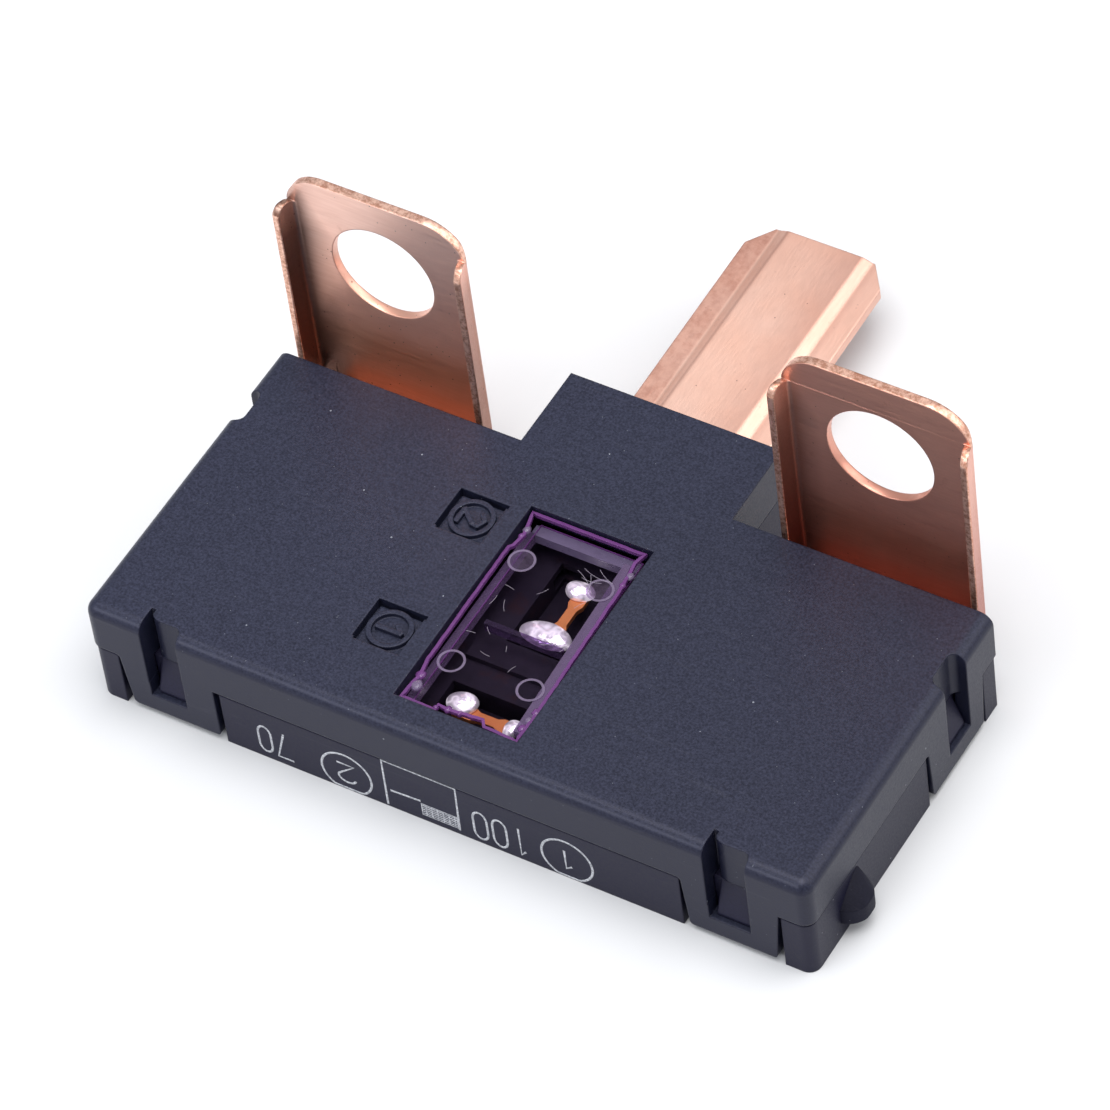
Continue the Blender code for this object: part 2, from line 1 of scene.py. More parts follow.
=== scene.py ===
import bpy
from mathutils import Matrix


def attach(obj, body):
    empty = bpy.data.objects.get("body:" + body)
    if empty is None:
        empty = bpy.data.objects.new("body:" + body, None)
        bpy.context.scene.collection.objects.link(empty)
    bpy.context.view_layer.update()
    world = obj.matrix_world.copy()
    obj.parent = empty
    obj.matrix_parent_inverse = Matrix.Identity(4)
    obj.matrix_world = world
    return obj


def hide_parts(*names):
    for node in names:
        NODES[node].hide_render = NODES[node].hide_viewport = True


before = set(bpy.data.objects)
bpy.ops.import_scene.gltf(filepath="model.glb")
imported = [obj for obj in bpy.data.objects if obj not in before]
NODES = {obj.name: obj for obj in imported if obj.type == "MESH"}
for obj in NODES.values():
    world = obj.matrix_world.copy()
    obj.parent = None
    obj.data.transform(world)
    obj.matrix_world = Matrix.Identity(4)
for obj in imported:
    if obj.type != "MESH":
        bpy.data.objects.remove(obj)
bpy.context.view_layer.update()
import math
import random

import bmesh
import bpy
from mathutils import Matrix, Vector

random.seed(11)
MM = 0.001
CENTRE = (25.575, 24.05)

BODY_W, BODY_D, BODY_H = 50.0, 22.9, 8.2
PARTING_Z = 4.6
EDGE_R = 0.85
NOSE_X0, NOSE_X1, NOSE_Y1 = 17.5, 32.3, 29.0
WALL = 2.15
COVER_ROOF = 1.2
BASE_INSET = 0.1
BASE_TOP = 4.5
DECK_TOP = 5.0
WIN_X0, WIN_X1, WIN_Y0, WIN_Y1 = 20.75, 29.3, 2.3, 18.6
LENS_TOP = 7.85
ARM_T = 1.0
ARM_Z0, ARM_Z1 = 0.45, 4.5
BAR_TOP = 1.85
SLOT_DEPTH = 1.0
RECESS = 1.15
FRONT_L = (2.1, 8.85, 4.05, 6.65)
FRONT_R = (41.2, 47.8, 42.95, 45.8)
SIDE_A = (14.4, 21.2, 16.8, 19.45)
WEDGE_OUT = 0.8
WEDGE_Z0, WEDGE_Z1 = 1.95, 4.4
POCKET = 3.2
POCKET_DEEP = 0.35
POCKET_1 = (16.27, 4.97)
POCKET_2 = (16.27, 14.65)
DISC_R = 1.35
SHEET = 0.75
SHEET_TOP = 4.45
TAB_W = 12.8
TAB_L_X0, TAB_R_X0 = 1.05, 35.45
TAB_FRONT, TAB_BACK = 25.0, 25.6
TAB_TOP = 22.5
CORNER_L, CORNER_R = 2.45, 3.1
HOLE_R, HOLE_Z = 3.6, 16.44
BEND_R = 0.85
FLANGE_FRONT = 23.65
FLANGE_T, FLANGE_SPLAY = 0.5, 0.31
FLANGE_Z0 = 4.9
BLADE_X0, BLADE_X1 = 19.7, 29.5
LAND_X0, LAND_X1 = 21.95, 27.3
BLADE_SLOPE, BLADE_STEP = 0.65, 0.58
BLADE_CH_X, BLADE_CH_Y = 1.35, 1.85
BLADE_TIP_Y = 48.1
BLADE_FADE = 0.6


# ================================================================ helpers
def at(x, y, z):
    return Vector(((x - CENTRE[0]) * MM, (y - CENTRE[1]) * MM, z * MM))


def new_object(bm, name, smooth=False):
    bmesh.ops.recalc_face_normals(bm, faces=bm.faces)
    mesh = bpy.data.meshes.new(name)
    bm.to_mesh(mesh)
    bm.free()
    obj = bpy.data.objects.new(name, mesh)
    bpy.context.scene.collection.objects.link(obj)
    if smooth:
        mesh.shade_smooth()
    return obj


def extruded(points, low, high, place, name):
    bm = bmesh.new()
    bottom = [bm.verts.new(place(a, b, low)) for a, b in points]
    top = [bm.verts.new(place(a, b, high)) for a, b in points]
    bm.faces.new(bottom)
    bm.faces.new(top)
    count = len(points)
    for i in range(count):
        j = (i + 1) % count
        bm.faces.new((bottom[i], bottom[j], top[j], top[i]))
    return new_object(bm, name)


def prism_z(points, z0, z1, name="p"):
    return extruded(points, z0, z1, lambda a, b, c: at(a, b, c), name)


def prism_y(points_xz, y0, y1, name="p"):
    return extruded(points_xz, y0, y1, lambda a, b, c: at(a, c, b), name)


def prism_x(points_yz, x0, x1, name="p"):
    return extruded(points_yz, x0, x1, lambda a, b, c: at(c, a, b), name)


def box(x0, x1, y0, y1, z0, z1, name="b"):
    return prism_z([(x0, y0), (x1, y0), (x1, y1), (x0, y1)], z0, z1, name)


def arc(cx, cy, r, a0, a1, n):
    return [
        (cx + r * math.cos(math.radians(a0 + (a1 - a0) * i / n)), cy + r * math.sin(math.radians(a0 + (a1 - a0) * i / n)))
        for i in range(n + 1)
    ]


def disc_points(cx, cy, r, n=48):
    return arc(cx, cy, r, 0, 360 - 360 / n, n - 1)


def post(cx, cy, r, z0, z1, n=48):
    return prism_z(disc_points(cx, cy, r, n), z0, z1)


def rounded(points, radii, n=5):
    """A polygon with its corners rounded. radii is one number, or one per corner."""
    out = []
    count = len(points)
    for i in range(count):
        r = radii[i] if hasattr(radii, "__len__") else radii
        p, q, s = Vector(points[i - 1]), Vector(points[i]), Vector(points[(i + 1) % count])
        a, b = (p - q), (s - q)
        la, lb = a.length, b.length
        a.normalize()
        b.normalize()
        half = a.angle(b) / 2
        if r <= 0 or abs(half - math.pi / 2) < 1e-3:
            out.append(tuple(q))
            continue
        reach = min(r / math.tan(half), la * 0.49, lb * 0.49)
        r = reach * math.tan(half)
        centre = q + (a + b).normalized() * (r / math.sin(half))
        v0, v1 = q + a * reach - centre, q + b * reach - centre
        turn = v0.angle_signed(v1)
        for k in range(n + 1):
            t = -turn * k / n
            c, s_ = math.cos(t), math.sin(t)
            out.append((centre.x + v0.x * c - v0.y * s_, centre.y + v0.x * s_ + v0.y * c))
    return out


def boolean(obj, other, operation):
    mod = obj.modifiers.new("bool", "BOOLEAN")
    mod.operation = operation
    mod.solver = "EXACT"
    mod.object = other
    bake(obj)
    bpy.data.objects.remove(other, do_unlink=True)


def cut(obj, other):
    boolean(obj, other, "DIFFERENCE")


def join(obj, other):
    boolean(obj, other, "UNION")


def meet(obj, other):
    boolean(obj, other, "INTERSECT")


def bake(obj):
    bpy.context.view_layer.update()
    graph = bpy.context.evaluated_depsgraph_get()
    mesh = bpy.data.meshes.new_from_object(obj.evaluated_get(graph))
    obj.modifiers.clear()
    obj.data = mesh


def soften(obj, width, segments=2, angle=32):
    """Small rounded edges, with flat faces kept flat."""
    mod = obj.modifiers.new("edges", "BEVEL")
    mod.width = width * MM
    mod.segments = segments
    mod.limit_method = "ANGLE"
    mod.angle_limit = math.radians(angle)
    mod.use_clamp_overlap = True
    bake(obj)


def shade(obj, angle=38):
    obj.data.shade_smooth()
    obj.data.set_sharp_from_angle(angle=math.radians(angle))
    mod = obj.modifiers.new("flat_faces", "WEIGHTED_NORMAL")
    mod.keep_sharp = True
    mod.weight = 100


def outline(inset):
    return [
        (inset, inset),
        (BODY_W - inset, inset),
        (BODY_W - inset, BODY_D - inset),
        (NOSE_X1 - inset, BODY_D - inset),
        (NOSE_X1 - inset, NOSE_Y1 - inset),
        (NOSE_X0 + inset, NOSE_Y1 - inset),
        (NOSE_X0 + inset, BODY_D - inset),
        (inset, BODY_D - inset),
    ]


def shell_block(inset, z0, z1, radius, round_top, name, segments=7):
    points = outline(inset)
    bm = bmesh.new()
    bottom = [bm.verts.new(at(a, b, z0)) for a, b in points]
    top = [bm.verts.new(at(a, b, z1)) for a, b in points]
    bm.faces.new(bottom)
    bm.faces.new(top)
    edges = []
    count = len(points)
    for i in range(count):
        j = (i + 1) % count
        bm.faces.new((bottom[i], bottom[j], top[j], top[i]))
    # the front corners, and the front and side top edges; the rest stays crisp
    for i in (0, 1):
        edges.append(bm.edges.get((bottom[i], top[i])))
    if round_top:
        for i in (0, 1, count - 1):
            edges.append(bm.edges.get((top[i], top[(i + 1) % count])))
    bmesh.ops.recalc_face_normals(bm, faces=bm.faces)
    bmesh.ops.bevel(bm, geom=edges, offset=radius * MM, offset_type="OFFSET", segments=segments, profile=0.5, affect="EDGES", clamp_overlap=True)
    return new_object(bm, name)


# ================================================================ materials
def tree_of(name):
    mat = bpy.data.materials.new(name)
    mat.use_nodes = True
    nt = mat.node_tree
    shader = nt.nodes["Principled BSDF"]
    return mat, nt, shader


def node(nt, kind, **values):
    n = nt.nodes.new(kind)
    for key, value in values.items():
        if key.startswith("in_"):
            key = key[3:]
            n.inputs[int(key) if key.isdigit() else key].default_value = value
        else:
            setattr(n, key, value)
    return n


def math_node(nt, op, a, b=None, clamp=False):
    n = nt.nodes.new("ShaderNodeMath")
    n.operation = op
    n.use_clamp = clamp
    for i, v in enumerate((a, b)):
        if v is None:
            continue
        if isinstance(v, (int, float)):
            n.inputs[i].default_value = v
        else:
            nt.links.new(v, n.inputs[i])
    return n.outputs[0]


def mix_colour(nt, factor, a, b):
    n = nt.nodes.new("ShaderNodeMix")
    n.data_type = "RGBA"
    for socket, v in ((n.inputs["Factor"], factor), (n.inputs[6], a), (n.inputs[7], b)):
        if isinstance(v, (int, float)):
            socket.default_value = v
        elif isinstance(v, tuple):
            socket.default_value = (*v, 1.0) if len(v) == 3 else v
        else:
            nt.links.new(v, socket)
    return n.outputs[2]


def ramp(nt, value, stops):
    n = nt.nodes.new("ShaderNodeValToRGB")
    nt.links.new(value, n.inputs[0])
    r = n.color_ramp
    while len(r.elements) < len(stops):
        r.elements.new(0.5)
    for e, (pos, v) in zip(r.elements, stops):
        e.position = pos
        e.color = (v, v, v, 1) if isinstance(v, (int, float)) else (*v, 1)
    return n.outputs[0]


def position(nt, scale=(1, 1, 1), rotation=(0, 0, 0)):
    """Object coordinates in millimetres."""
    coord = nt.nodes.new("ShaderNodeTexCoord")
    mapping = nt.nodes.new("ShaderNodeMapping")
    mapping.inputs["Scale"].default_value = tuple(1000.0 * s for s in scale)
    mapping.inputs["Rotation"].default_value = rotation
    nt.links.new(coord.outputs["Object"], mapping.inputs["Vector"])
    return mapping.outputs["Vector"]


def noise(nt, vector, scale, detail=3.0, roughness=0.5):
    n = nt.nodes.new("ShaderNodeTexNoise")
    n.inputs["Scale"].default_value = scale
    n.inputs["Detail"].default_value = detail
    n.inputs["Roughness"].default_value = roughness
    nt.links.new(vector, n.inputs["Vector"])
    return n.outputs["Fac"]


def specks(nt, vector, scale, size, keep):
    """1 in a few small spots, 0 elsewhere. keep is the share of cells that hold one."""
    v = nt.nodes.new("ShaderNodeTexVoronoi")
    v.inputs["Scale"].default_value = scale
    nt.links.new(vector, v.inputs["Vector"])
    near = math_node(nt, "LESS_THAN", v.outputs["Distance"], size)
    split = nt.nodes.new("ShaderNodeSeparateColor")
    nt.links.new(v.outputs["Color"], split.inputs[0])
    chosen = math_node(nt, "LESS_THAN", split.outputs[0], keep)
    return math_node(nt, "MULTIPLY", near, chosen)


def streaks(nt, angle, along, across, low, high):
    """Thin faint scratch lines in one direction."""
    v = position(nt, (along, across, 1.0), (0, 0, angle))
    n = noise(nt, v, 1.0, 1.0, 0.4)
    return ramp(nt, n, [(0.0, 0.0), (low, 0.0), ((low + high) / 2, 1.0), (high, 0.0), (1.0, 0.0)])


def bump(nt, shader, height, strength, distance, before=None):
    b = nt.nodes.new("ShaderNodeBump")
    b.inputs["Strength"].default_value = strength
    b.inputs["Distance"].default_value = distance
    nt.links.new(height, b.inputs["Height"])
    if before is not None:
        nt.links.new(before, b.inputs["Normal"])
    nt.links.new(b.outputs[0], shader.inputs["Normal"])
    return b.outputs[0]


def round_normal(nt, radius):
    n = nt.nodes.new("ShaderNodeBevel")
    n.samples = 6
    n.inputs["Radius"].default_value = radius * MM
    return n.outputs[0]


def plastic(name, colour, roughness, dust, shine=0.35):
    mat, nt, shader = tree_of(name)
    v = position(nt)
    tone = noise(nt, v, 0.12, 2.0)
    fine = noise(nt, v, 6.5, 4.0, 0.66)
    base = mix_colour(nt, tone, tuple(c * 0.66 for c in colour), tuple(c * 0.98 for c in colour))
    mottle = ramp(nt, fine, [(0.36, 0.0), (0.68, 1.0)])
    base = mix_colour(nt, mottle, base, tuple(c * 1.8 + 0.003 for c in colour))
    # painted shade: the colour darkens towards the right end, to 0.80 of itself at the far right
    split = nt.nodes.new("ShaderNodeSeparateXYZ")
    nt.links.new(v, split.inputs[0])
    run = math_node(nt, "DIVIDE", math_node(nt, "ADD", split.outputs[0], 25.0), 50.0, True)
    base = mix_colour(nt, ramp(nt, run, [(0.0, 1.0), (0.5, 0.94), (1.0, 0.80)]), (0.0, 0.0, 0.0), base)
    # painted shade: what faces sideways is mixed towards a dark blue, so the walls come out darker and bluer than what
    # faces up
    face = nt.nodes.new("ShaderNodeNewGeometry")
    facing = nt.nodes.new("ShaderNodeSeparateXYZ")
    nt.links.new(face.outputs["True Normal"], facing.inputs[0])
    base = mix_colour(nt, ramp(nt, facing.outputs[2], [(0.1, 0.40), (0.9, 1.0)]), (0.0035, 0.0040, 0.0160), base)
    marks = specks(nt, v, 1.15, 0.07, 0.05 * dust)
    small = specks(nt, v, 3.1, 0.11, 0.04 * dust)
    dots = math_node(nt, "MAXIMUM", marks, math_node(nt, "MULTIPLY", small, 0.45))
    lint = noise(nt, v, 26.0, 2.0, 0.7)
    dots = math_node(nt, "MULTIPLY", dots, ramp(nt, lint, [(0.35, 0.2), (0.65, 0.9)]))
    base = mix_colour(nt, dots, base, (0.34, 0.36, 0.40))
    scratch = math_node(nt, "MAXIMUM", streaks(nt, 0.5, 0.05, 2.2, 0.655, 0.675), streaks(nt, -1.1, 0.07, 2.6, 0.668, 0.684))
    scratch = math_node(nt, "MULTIPLY", scratch, 0.025)
    base = mix_colour(nt, scratch, base, (0.3, 0.3, 0.32))
    nt.links.new(base, shader.inputs["Base Color"])
    rough = ramp(nt, fine, [(0.3, roughness - 0.07), (0.7, roughness + 0.09)])
    nt.links.new(rough, shader.inputs["Roughness"])
    shader.inputs["Specular IOR Level"].default_value = shine
    shader.inputs["Specular Tint"].default_value = (0.86, 0.84, 1.0, 1)
    rounding = round_normal(nt, 0.16)
    grain = math_node(nt, "ADD", fine, math_node(nt, "MULTIPLY", noise(nt, v, 12.0, 2.0), 0.6))
    bump(nt, shader, grain, 0.25, 0.00002, rounding)
    return mat


PLASTIC = plastic("black_nylon_cover", (0.0138, 0.0156, 0.0290), 0.36, 1.5, 0.30)
PLASTIC_BASE = plastic("black_nylon_base", (0.0100, 0.0088, 0.0235), 0.42, 0.5, 0.27)
# the nub's plastic is a darker, duller copy of the others: painted shade
PLASTIC_NUB_SHADED = plastic("black_nylon_nub_painted_shade", (0.0050, 0.0050, 0.010), 0.62, 0.2, 0.2)


def dark_inside():
    mat, nt, shader = tree_of("black_nylon_inside")
    v = position(nt)
    tone = noise(nt, v, 0.8, 3.0)
    rust = ramp(nt, noise(nt, v, 0.45, 4.0, 0.6), [(0.55, 0.0), (0.72, 0.5)])
    base = mix_colour(nt, tone, (0.011, 0.009, 0.0145), (0.024, 0.019, 0.030))
    nt.links.new(mix_colour(nt, rust, base, (0.035, 0.012, 0.008)), shader.inputs["Base Color"])
    shader.inputs["Specular IOR Level"].default_value = 0.08
    shader.inputs["Roughness"].default_value = 0.6
    shader.inputs["Coat Weight"].default_value = 0.0
    return mat


INSIDE = dark_inside()


def copper(name, high, low, roughness, grain_scale, edge=0.1, metal=1.0, speck=0.06, fall=None):
    """Rolled copper. fall is (axis, from, to): the colour runs from low to high along it, in mm: painted shade at the
    low end, painted light at the high end.
    """
    mat, nt, shader = tree_of(name)
    v = position(nt)
    cloud = noise(nt, v, 0.22, 4.0, 0.55)
    fibre = noise(nt, position(nt, grain_scale), 1.0, 4.0, 0.6)
    # painted shade and light: along the fall axis the colour runs from the darker low colour to the lighter high
    # colour, with cloud noise mixed in
    if fall:
        split = nt.nodes.new("ShaderNodeSeparateXYZ")
        nt.links.new(v, split.inputs[0])
        run = math_node(nt, "DIVIDE", math_node(nt, "SUBTRACT", split.outputs[fall[0]], fall[1]), fall[2] - fall[1], True)
        run = math_node(nt, "ADD", run, math_node(nt, "MULTIPLY", math_node(nt, "SUBTRACT", cloud, 0.5), 0.5), True)
    else:
        run = ramp(nt, cloud, [(0.35, 0.0), (0.68, 1.0)])
    colour = mix_colour(nt, run, low, high)
    streak = ramp(nt, fibre, [(0.3, 0.0), (0.7, 1.0)])
    colour = mix_colour(nt, math_node(nt, "MULTIPLY", streak, 0.16), colour, tuple(c * 0.6 for c in low))
    dark = specks(nt, v, 2.4, 0.12, speck)
    flecks = specks(nt, v, 2.2, 0.15, 0.20)
    patch = ramp(nt, noise(nt, v, 0.35, 2.0, 0.5), [(0.40, 0.0), (0.56, 1.0)])
    dark = math_node(nt, "MAXIMUM", dark, math_node(nt, "MULTIPLY", math_node(nt, "MULTIPLY", flecks, patch), min(1.0, speck * 8)))
    grime = ramp(nt, noise(nt, v, 0.5, 5.0, 0.7), [(0.62, 0.0), (0.74, 0.30)])
    colour = mix_colour(nt, grime, colour, tuple(c * 0.55 for c in low))
    # sheared edges are coarser: bright and dark by turns
    side = nt.nodes.new("ShaderNodeNewGeometry")
    parts = nt.nodes.new("ShaderNodeSeparateXYZ")
    nt.links.new(side.outputs["True Normal"], parts.inputs[0])
    return mat, nt, shader, v, colour, dark, grime, fibre, parts


def finish_copper(made, roughness, edge, metal, sheared=None, corner=None):
    mat, nt, shader, v, colour, dark, grime, fibre, parts = made
    if sheared:
        spot = nt.nodes.new("ShaderNodeSeparateXYZ")
        nt.links.new(v, spot.inputs[0])
        on_edge = math_node(nt, "GREATER_THAN", parts.outputs[sheared], 0.3)
        on_edge = math_node(nt, "MULTIPLY", on_edge, math_node(nt, "GREATER_THAN", spot.outputs[2], 19.0))
        on_edge = math_node(nt, "MAXIMUM", on_edge, math_node(nt, "LESS_THAN", spot.outputs[1], FLANGE_FRONT + 0.06 - CENTRE[1]))
        rough_mark = ramp(nt, noise(nt, v, 2.6, 4.0, 0.75), [(0.42, 0.0), (0.60, 1.0)])
        worn = mix_colour(nt, rough_mark, (0.96, 0.62, 0.48), (0.50, 0.22, 0.14))
        colour = mix_colour(nt, math_node(nt, "MULTIPLY", on_edge, 0.85), colour, worn)
    colour = mix_colour(nt, math_node(nt, "MULTIPLY", dark, 0.6), colour, (0.12, 0.06, 0.05))
    if corner:
        # painted shade in the inside corner of a bent flange and on the far flange's inner face, fading towards the
        # top; outer faces and flange fronts stay unshaded: (x where it starts, where it ends, tone in the corner, tone
        # on the far flange)
        start, stop, deep, far = corner
        spot = nt.nodes.new("ShaderNodeSeparateXYZ")
        nt.links.new(v, spot.inputs[0])
        across = math_node(nt, "DIVIDE", math_node(nt, "SUBTRACT", spot.outputs[0], start), TAB_W, True)
        width = (stop - start) / TAB_W
        painted_corner_shade = ramp(nt, across, [(0.0, 1.0), (0.005, 1.0), (0.02, deep * 0.7), (0.05, deep), (width, 1.0), (0.955, 1.0), (0.975, far), (1.0, far)])
        outside = math_node(nt, "LESS_THAN", parts.outputs[0], -0.5)
        front = math_node(nt, "LESS_THAN", spot.outputs[1], FLANGE_FRONT + 0.06 - CENTRE[1])
        outside = math_node(nt, "MAXIMUM", outside, front)
        painted_corner_shade = math_node(nt, "MAXIMUM", painted_corner_shade, outside)
        high = math_node(nt, "DIVIDE", math_node(nt, "SUBTRACT", spot.outputs[2], 18.0), 4.0, True)
        painted_corner_shade = math_node(nt, "ADD", painted_corner_shade, math_node(nt, "MULTIPLY", high, 0.6), True)
        colour = mix_colour(nt, painted_corner_shade, (0.02, 0.006, 0.008), colour)
    nt.links.new(colour, shader.inputs["Base Color"])
    shader.inputs["Metallic"].default_value = metal
    shader.inputs["Specular IOR Level"].default_value = 0.3
    rough = math_node(nt, "ADD", ramp(nt, fibre, [(0.3, roughness - 0.05), (0.7, roughness + 0.06)]), math_node(nt, "MULTIPLY", grime, 0.25))
    nt.links.new(rough, shader.inputs["Roughness"])
    bump(nt, shader, fibre, 0.3, 0.00002, round_normal(nt, edge))
    return mat


def made_copper(name, high, low, roughness, grain_scale, edge, metal, speck, fall=None, sheared=None, corner=None):
    return finish_copper(copper(name, high, low, roughness, grain_scale, edge, metal, speck, fall), roughness, edge, metal, sheared, corner)


TAB_LOOK = (0.37, (0.4, 5.0, 5.0), 0.12, 0.92)
# both tabs carry painted shade low down and painted light high up (the fall along z), and painted shade in their flange
# corners
COPPER_TAB_L = made_copper("copper_tab_left", (1.0, 0.66, 0.55), (0.90, 0.41, 0.27), *TAB_LOOK, 0.13, (2, 9.0, 20.0), 2, (TAB_L_X0 - CENTRE[0] - 0.4, TAB_L_X0 - CENTRE[0] + 3.2, 0.16, 0.55))
COPPER_TAB_R = made_copper("copper_tab_right", (0.86, 0.45, 0.34), (0.52, 0.19, 0.14), *TAB_LOOK, 0.06, (2, 7.0, 18.0), 2, (TAB_R_X0 - CENTRE[0] - 0.4, TAB_R_X0 - CENTRE[0] + 2.4, 0.45, 0.95))
COPPER_BLADE = made_copper("copper_blade", (0.95, 0.62, 0.50), (0.95, 0.58, 0.45), 0.42, (7.0, 0.8, 7.0), 0.1, 0.84, 0.03)
LINK_METAL = made_copper("fusible_copper", (0.85, 0.34, 0.11), (0.70, 0.24, 0.08), 0.4, (1.0, 4.0, 4.0), 0.05, 0.6, 0.0)


def blade_painted_shading():
    """Painted shade on the blade: the lips, the far side of the land, thin lines beside the slopes and the tip end are
    painted darker than the rest.
    """
    nt = COPPER_BLADE.node_tree
    shader = nt.nodes["Principled BSDF"]
    source = shader.inputs["Base Color"].links[0].from_socket
    split = nt.nodes.new("ShaderNodeSeparateXYZ")
    nt.links.new(position(nt), split.inputs[0])
    across = math_node(nt, "DIVIDE", math_node(nt, "ADD", split.outputs[0], 6.0), 10.0, True)
    shade_x = ramp(nt, across, [(0.0, 0.70), (0.15, 0.74), (0.165, 1.0), (0.215, 1.0), (0.235, 0.74), (0.265, 1.0), (0.5, 0.98), (0.68, 0.82), (0.765, 0.76), (0.775, 0.93), (0.84, 0.93), (0.86, 0.82), (0.9, 0.97), (1.0, 0.94)])
    along = math_node(nt, "DIVIDE", math_node(nt, "SUBTRACT", split.outputs[1], 5.0), 19.0, True)
    shade_y = ramp(nt, along, [(0.0, 1.0), (0.5, 0.97), (1.0, 0.84)])
    tone = math_node(nt, "MULTIPLY", shade_x, shade_y)
    # the left lip gets more painted shade, broken up by noise
    lip = ramp(nt, across, [(0.0, 0.22), (0.15, 0.20), (0.17, 0.0), (1.0, 0.0)])
    worn = ramp(nt, noise(nt, position(nt), 1.6, 5.0, 0.7), [(0.4, 0.0), (0.65, 1.0)])
    tone = math_node(nt, "SUBTRACT", tone, math_node(nt, "MULTIPLY", lip, worn), True)
    grey = nt.nodes.new("ShaderNodeMix")
    grey.data_type = "RGBA"
    grey.blend_type = "MULTIPLY"
    grey.inputs["Factor"].default_value = 1.0
    nt.links.new(source, grey.inputs[6])
    warm = mix_colour(nt, tone, (0.28, 0.06, 0.03), (1.0, 1.0, 1.0))
    tint = nt.nodes.new("ShaderNodeGamma")
    tint.inputs[1].default_value = 1.0
    nt.links.new(warm, tint.inputs[0])
    nt.links.new(tint.outputs[0], grey.inputs[7])
    nt.links.new(grey.outputs[2], shader.inputs["Base Color"])


blade_painted_shading()


def tin():
    mat, nt, shader = tree_of("tin_solder")
    v = position(nt)
    shader.inputs["Base Color"].default_value = (0.95, 0.92, 0.93, 1)
    shader.inputs["Metallic"].default_value = 0.6
    # painted light: the tin glows through Emission, in spots set by the glint ramp, standing for bright reflections
    shader.inputs["Emission Color"].default_value = (1.0, 0.95, 0.98, 1)
    painted_glint = ramp(nt, noise(nt, position(nt), 0.75, 2.0, 0.5), [(0.40, 0.02), (0.46, 0.12), (0.52, 0.62), (0.60, 0.10), (0.70, 0.5)])
    nt.links.new(painted_glint, shader.inputs["Emission Strength"])
    shader.inputs["Roughness"].default_value = 0.22
    bump(nt, shader, noise(nt, v, 1.6, 2.0), 0.5, 0.0002)
    return mat


TIN = tin()


def lens_material():
    """Clear plastic: mostly see-through, with a faint violet-grey tint; its violet rim, where light is caught, is drawn
    by the rim pieces.
    """
    mat, nt, shader = tree_of("clear_lens")
    nt.nodes.remove(shader)
    out = nt.nodes["Material Output"]
    clear = node(nt, "ShaderNodeBsdfTransparent")
    clear.inputs["Color"].default_value = (0.88, 0.85, 0.90, 1)
    nt.links.new(clear.outputs[0], out.inputs["Surface"])
    return mat


def violet_material(name, colour, see_through, glow):
    mat, nt, shader = tree_of(name)
    out = nt.nodes["Material Output"]
    v = position(nt)
    tone = noise(nt, v, 1.7, 3.0, 0.6)
    nt.links.new(mix_colour(nt, tone, tuple(c * 0.6 for c in colour), tuple(min(1, c * 1.5) for c in colour)), shader.inputs["Base Color"])
    shader.inputs["Roughness"].default_value = 0.18
    # painted light: a faint glow (Emission) in the piece's colour stands for light caught in the clear plastic
    shader.inputs["Emission Color"].default_value = (*colour, 1)
    shader.inputs["Emission Strength"].default_value = glow
    clear = node(nt, "ShaderNodeBsdfTransparent")
    clear.inputs["Color"].default_value = (0.75, 0.6, 0.85, 1)
    both = nt.nodes.new("ShaderNodeMixShader")
    nt.links.new(ramp(nt, tone, [(0.35, see_through - 0.12), (0.65, see_through + 0.12)]), both.inputs[0])
    nt.links.new(shader.outputs[0], both.inputs[1])
    nt.links.new(clear.outputs[0], both.inputs[2])
    nt.links.new(both.outputs[0], out.inputs["Surface"])
    return mat


LENS = lens_material()
VIOLET = violet_material("clear_lens_rim", (0.14, 0.045, 0.175), 0.30, 0.12)
GREY_WALL = violet_material("clear_lens_wall", (0.135, 0.10, 0.165), 0.36, 0.10)
BACK_WALL = violet_material("clear_lens_back", (0.19, 0.17, 0.235), 0.34, 0.08)
RING = violet_material("clear_lens_ring", (0.18, 0.14, 0.215), 0.40, 0.10)
RING_FILL = violet_material("clear_lens_pad", (0.10, 0.07, 0.12), 0.72, 0.05)
DIVIDER = violet_material("clear_lens_divider", (0.06, 0.045, 0.075), 0.62, 0.05)
HAIR = violet_material("lint", (0.42, 0.38, 0.44), 0.35, 0.05)


def ink():
    mat, nt, shader = tree_of("white_print")
    v = position(nt)
    worn = noise(nt, v, 7.0, 4.0, 0.7)
    nt.links.new(mix_colour(nt, ramp(nt, worn, [(0.4, 0.0), (0.62, 1.0)]), (0.26, 0.27, 0.30), (0.62, 0.63, 0.66)), shader.inputs["Base Color"])
    shader.inputs["Roughness"].default_value = 0.6
    return mat


INK = ink()


def dress(obj, mat, slot, body, *nodes):
    obj.data.materials.clear()
    obj.data.materials.append(mat)
    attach(obj, body)
    if nodes:
        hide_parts(*nodes)
    return obj


# ================================================================ cover and its four arms, one moulding
cover = shell_block(0.0, PARTING_Z, BODY_H, EDGE_R, True, "cover_moulding")


def arm_front(a, b, slot_a, slot_b, lean_a, lean_b):
    body = [
        (a - 0.5, 5.6),
        (a - 0.5, PARTING_Z),
        (a + lean_a * 0.1, PARTING_Z),
        (a + lean_a, ARM_Z0),
        (b - lean_b, ARM_Z0),
        (b, PARTING_Z),
        (b + 0.5, PARTING_Z),
        (b + 0.5, 5.6),
    ]
    return rounded(body, [0, 0, 0.5, 0.3, 0.25, 0.0, 0, 0], 4), [(slot_a, 6.0), (slot_a + 0.05, BAR_TOP), (slot_b, BAR_TOP), (slot_b, 6.0)]


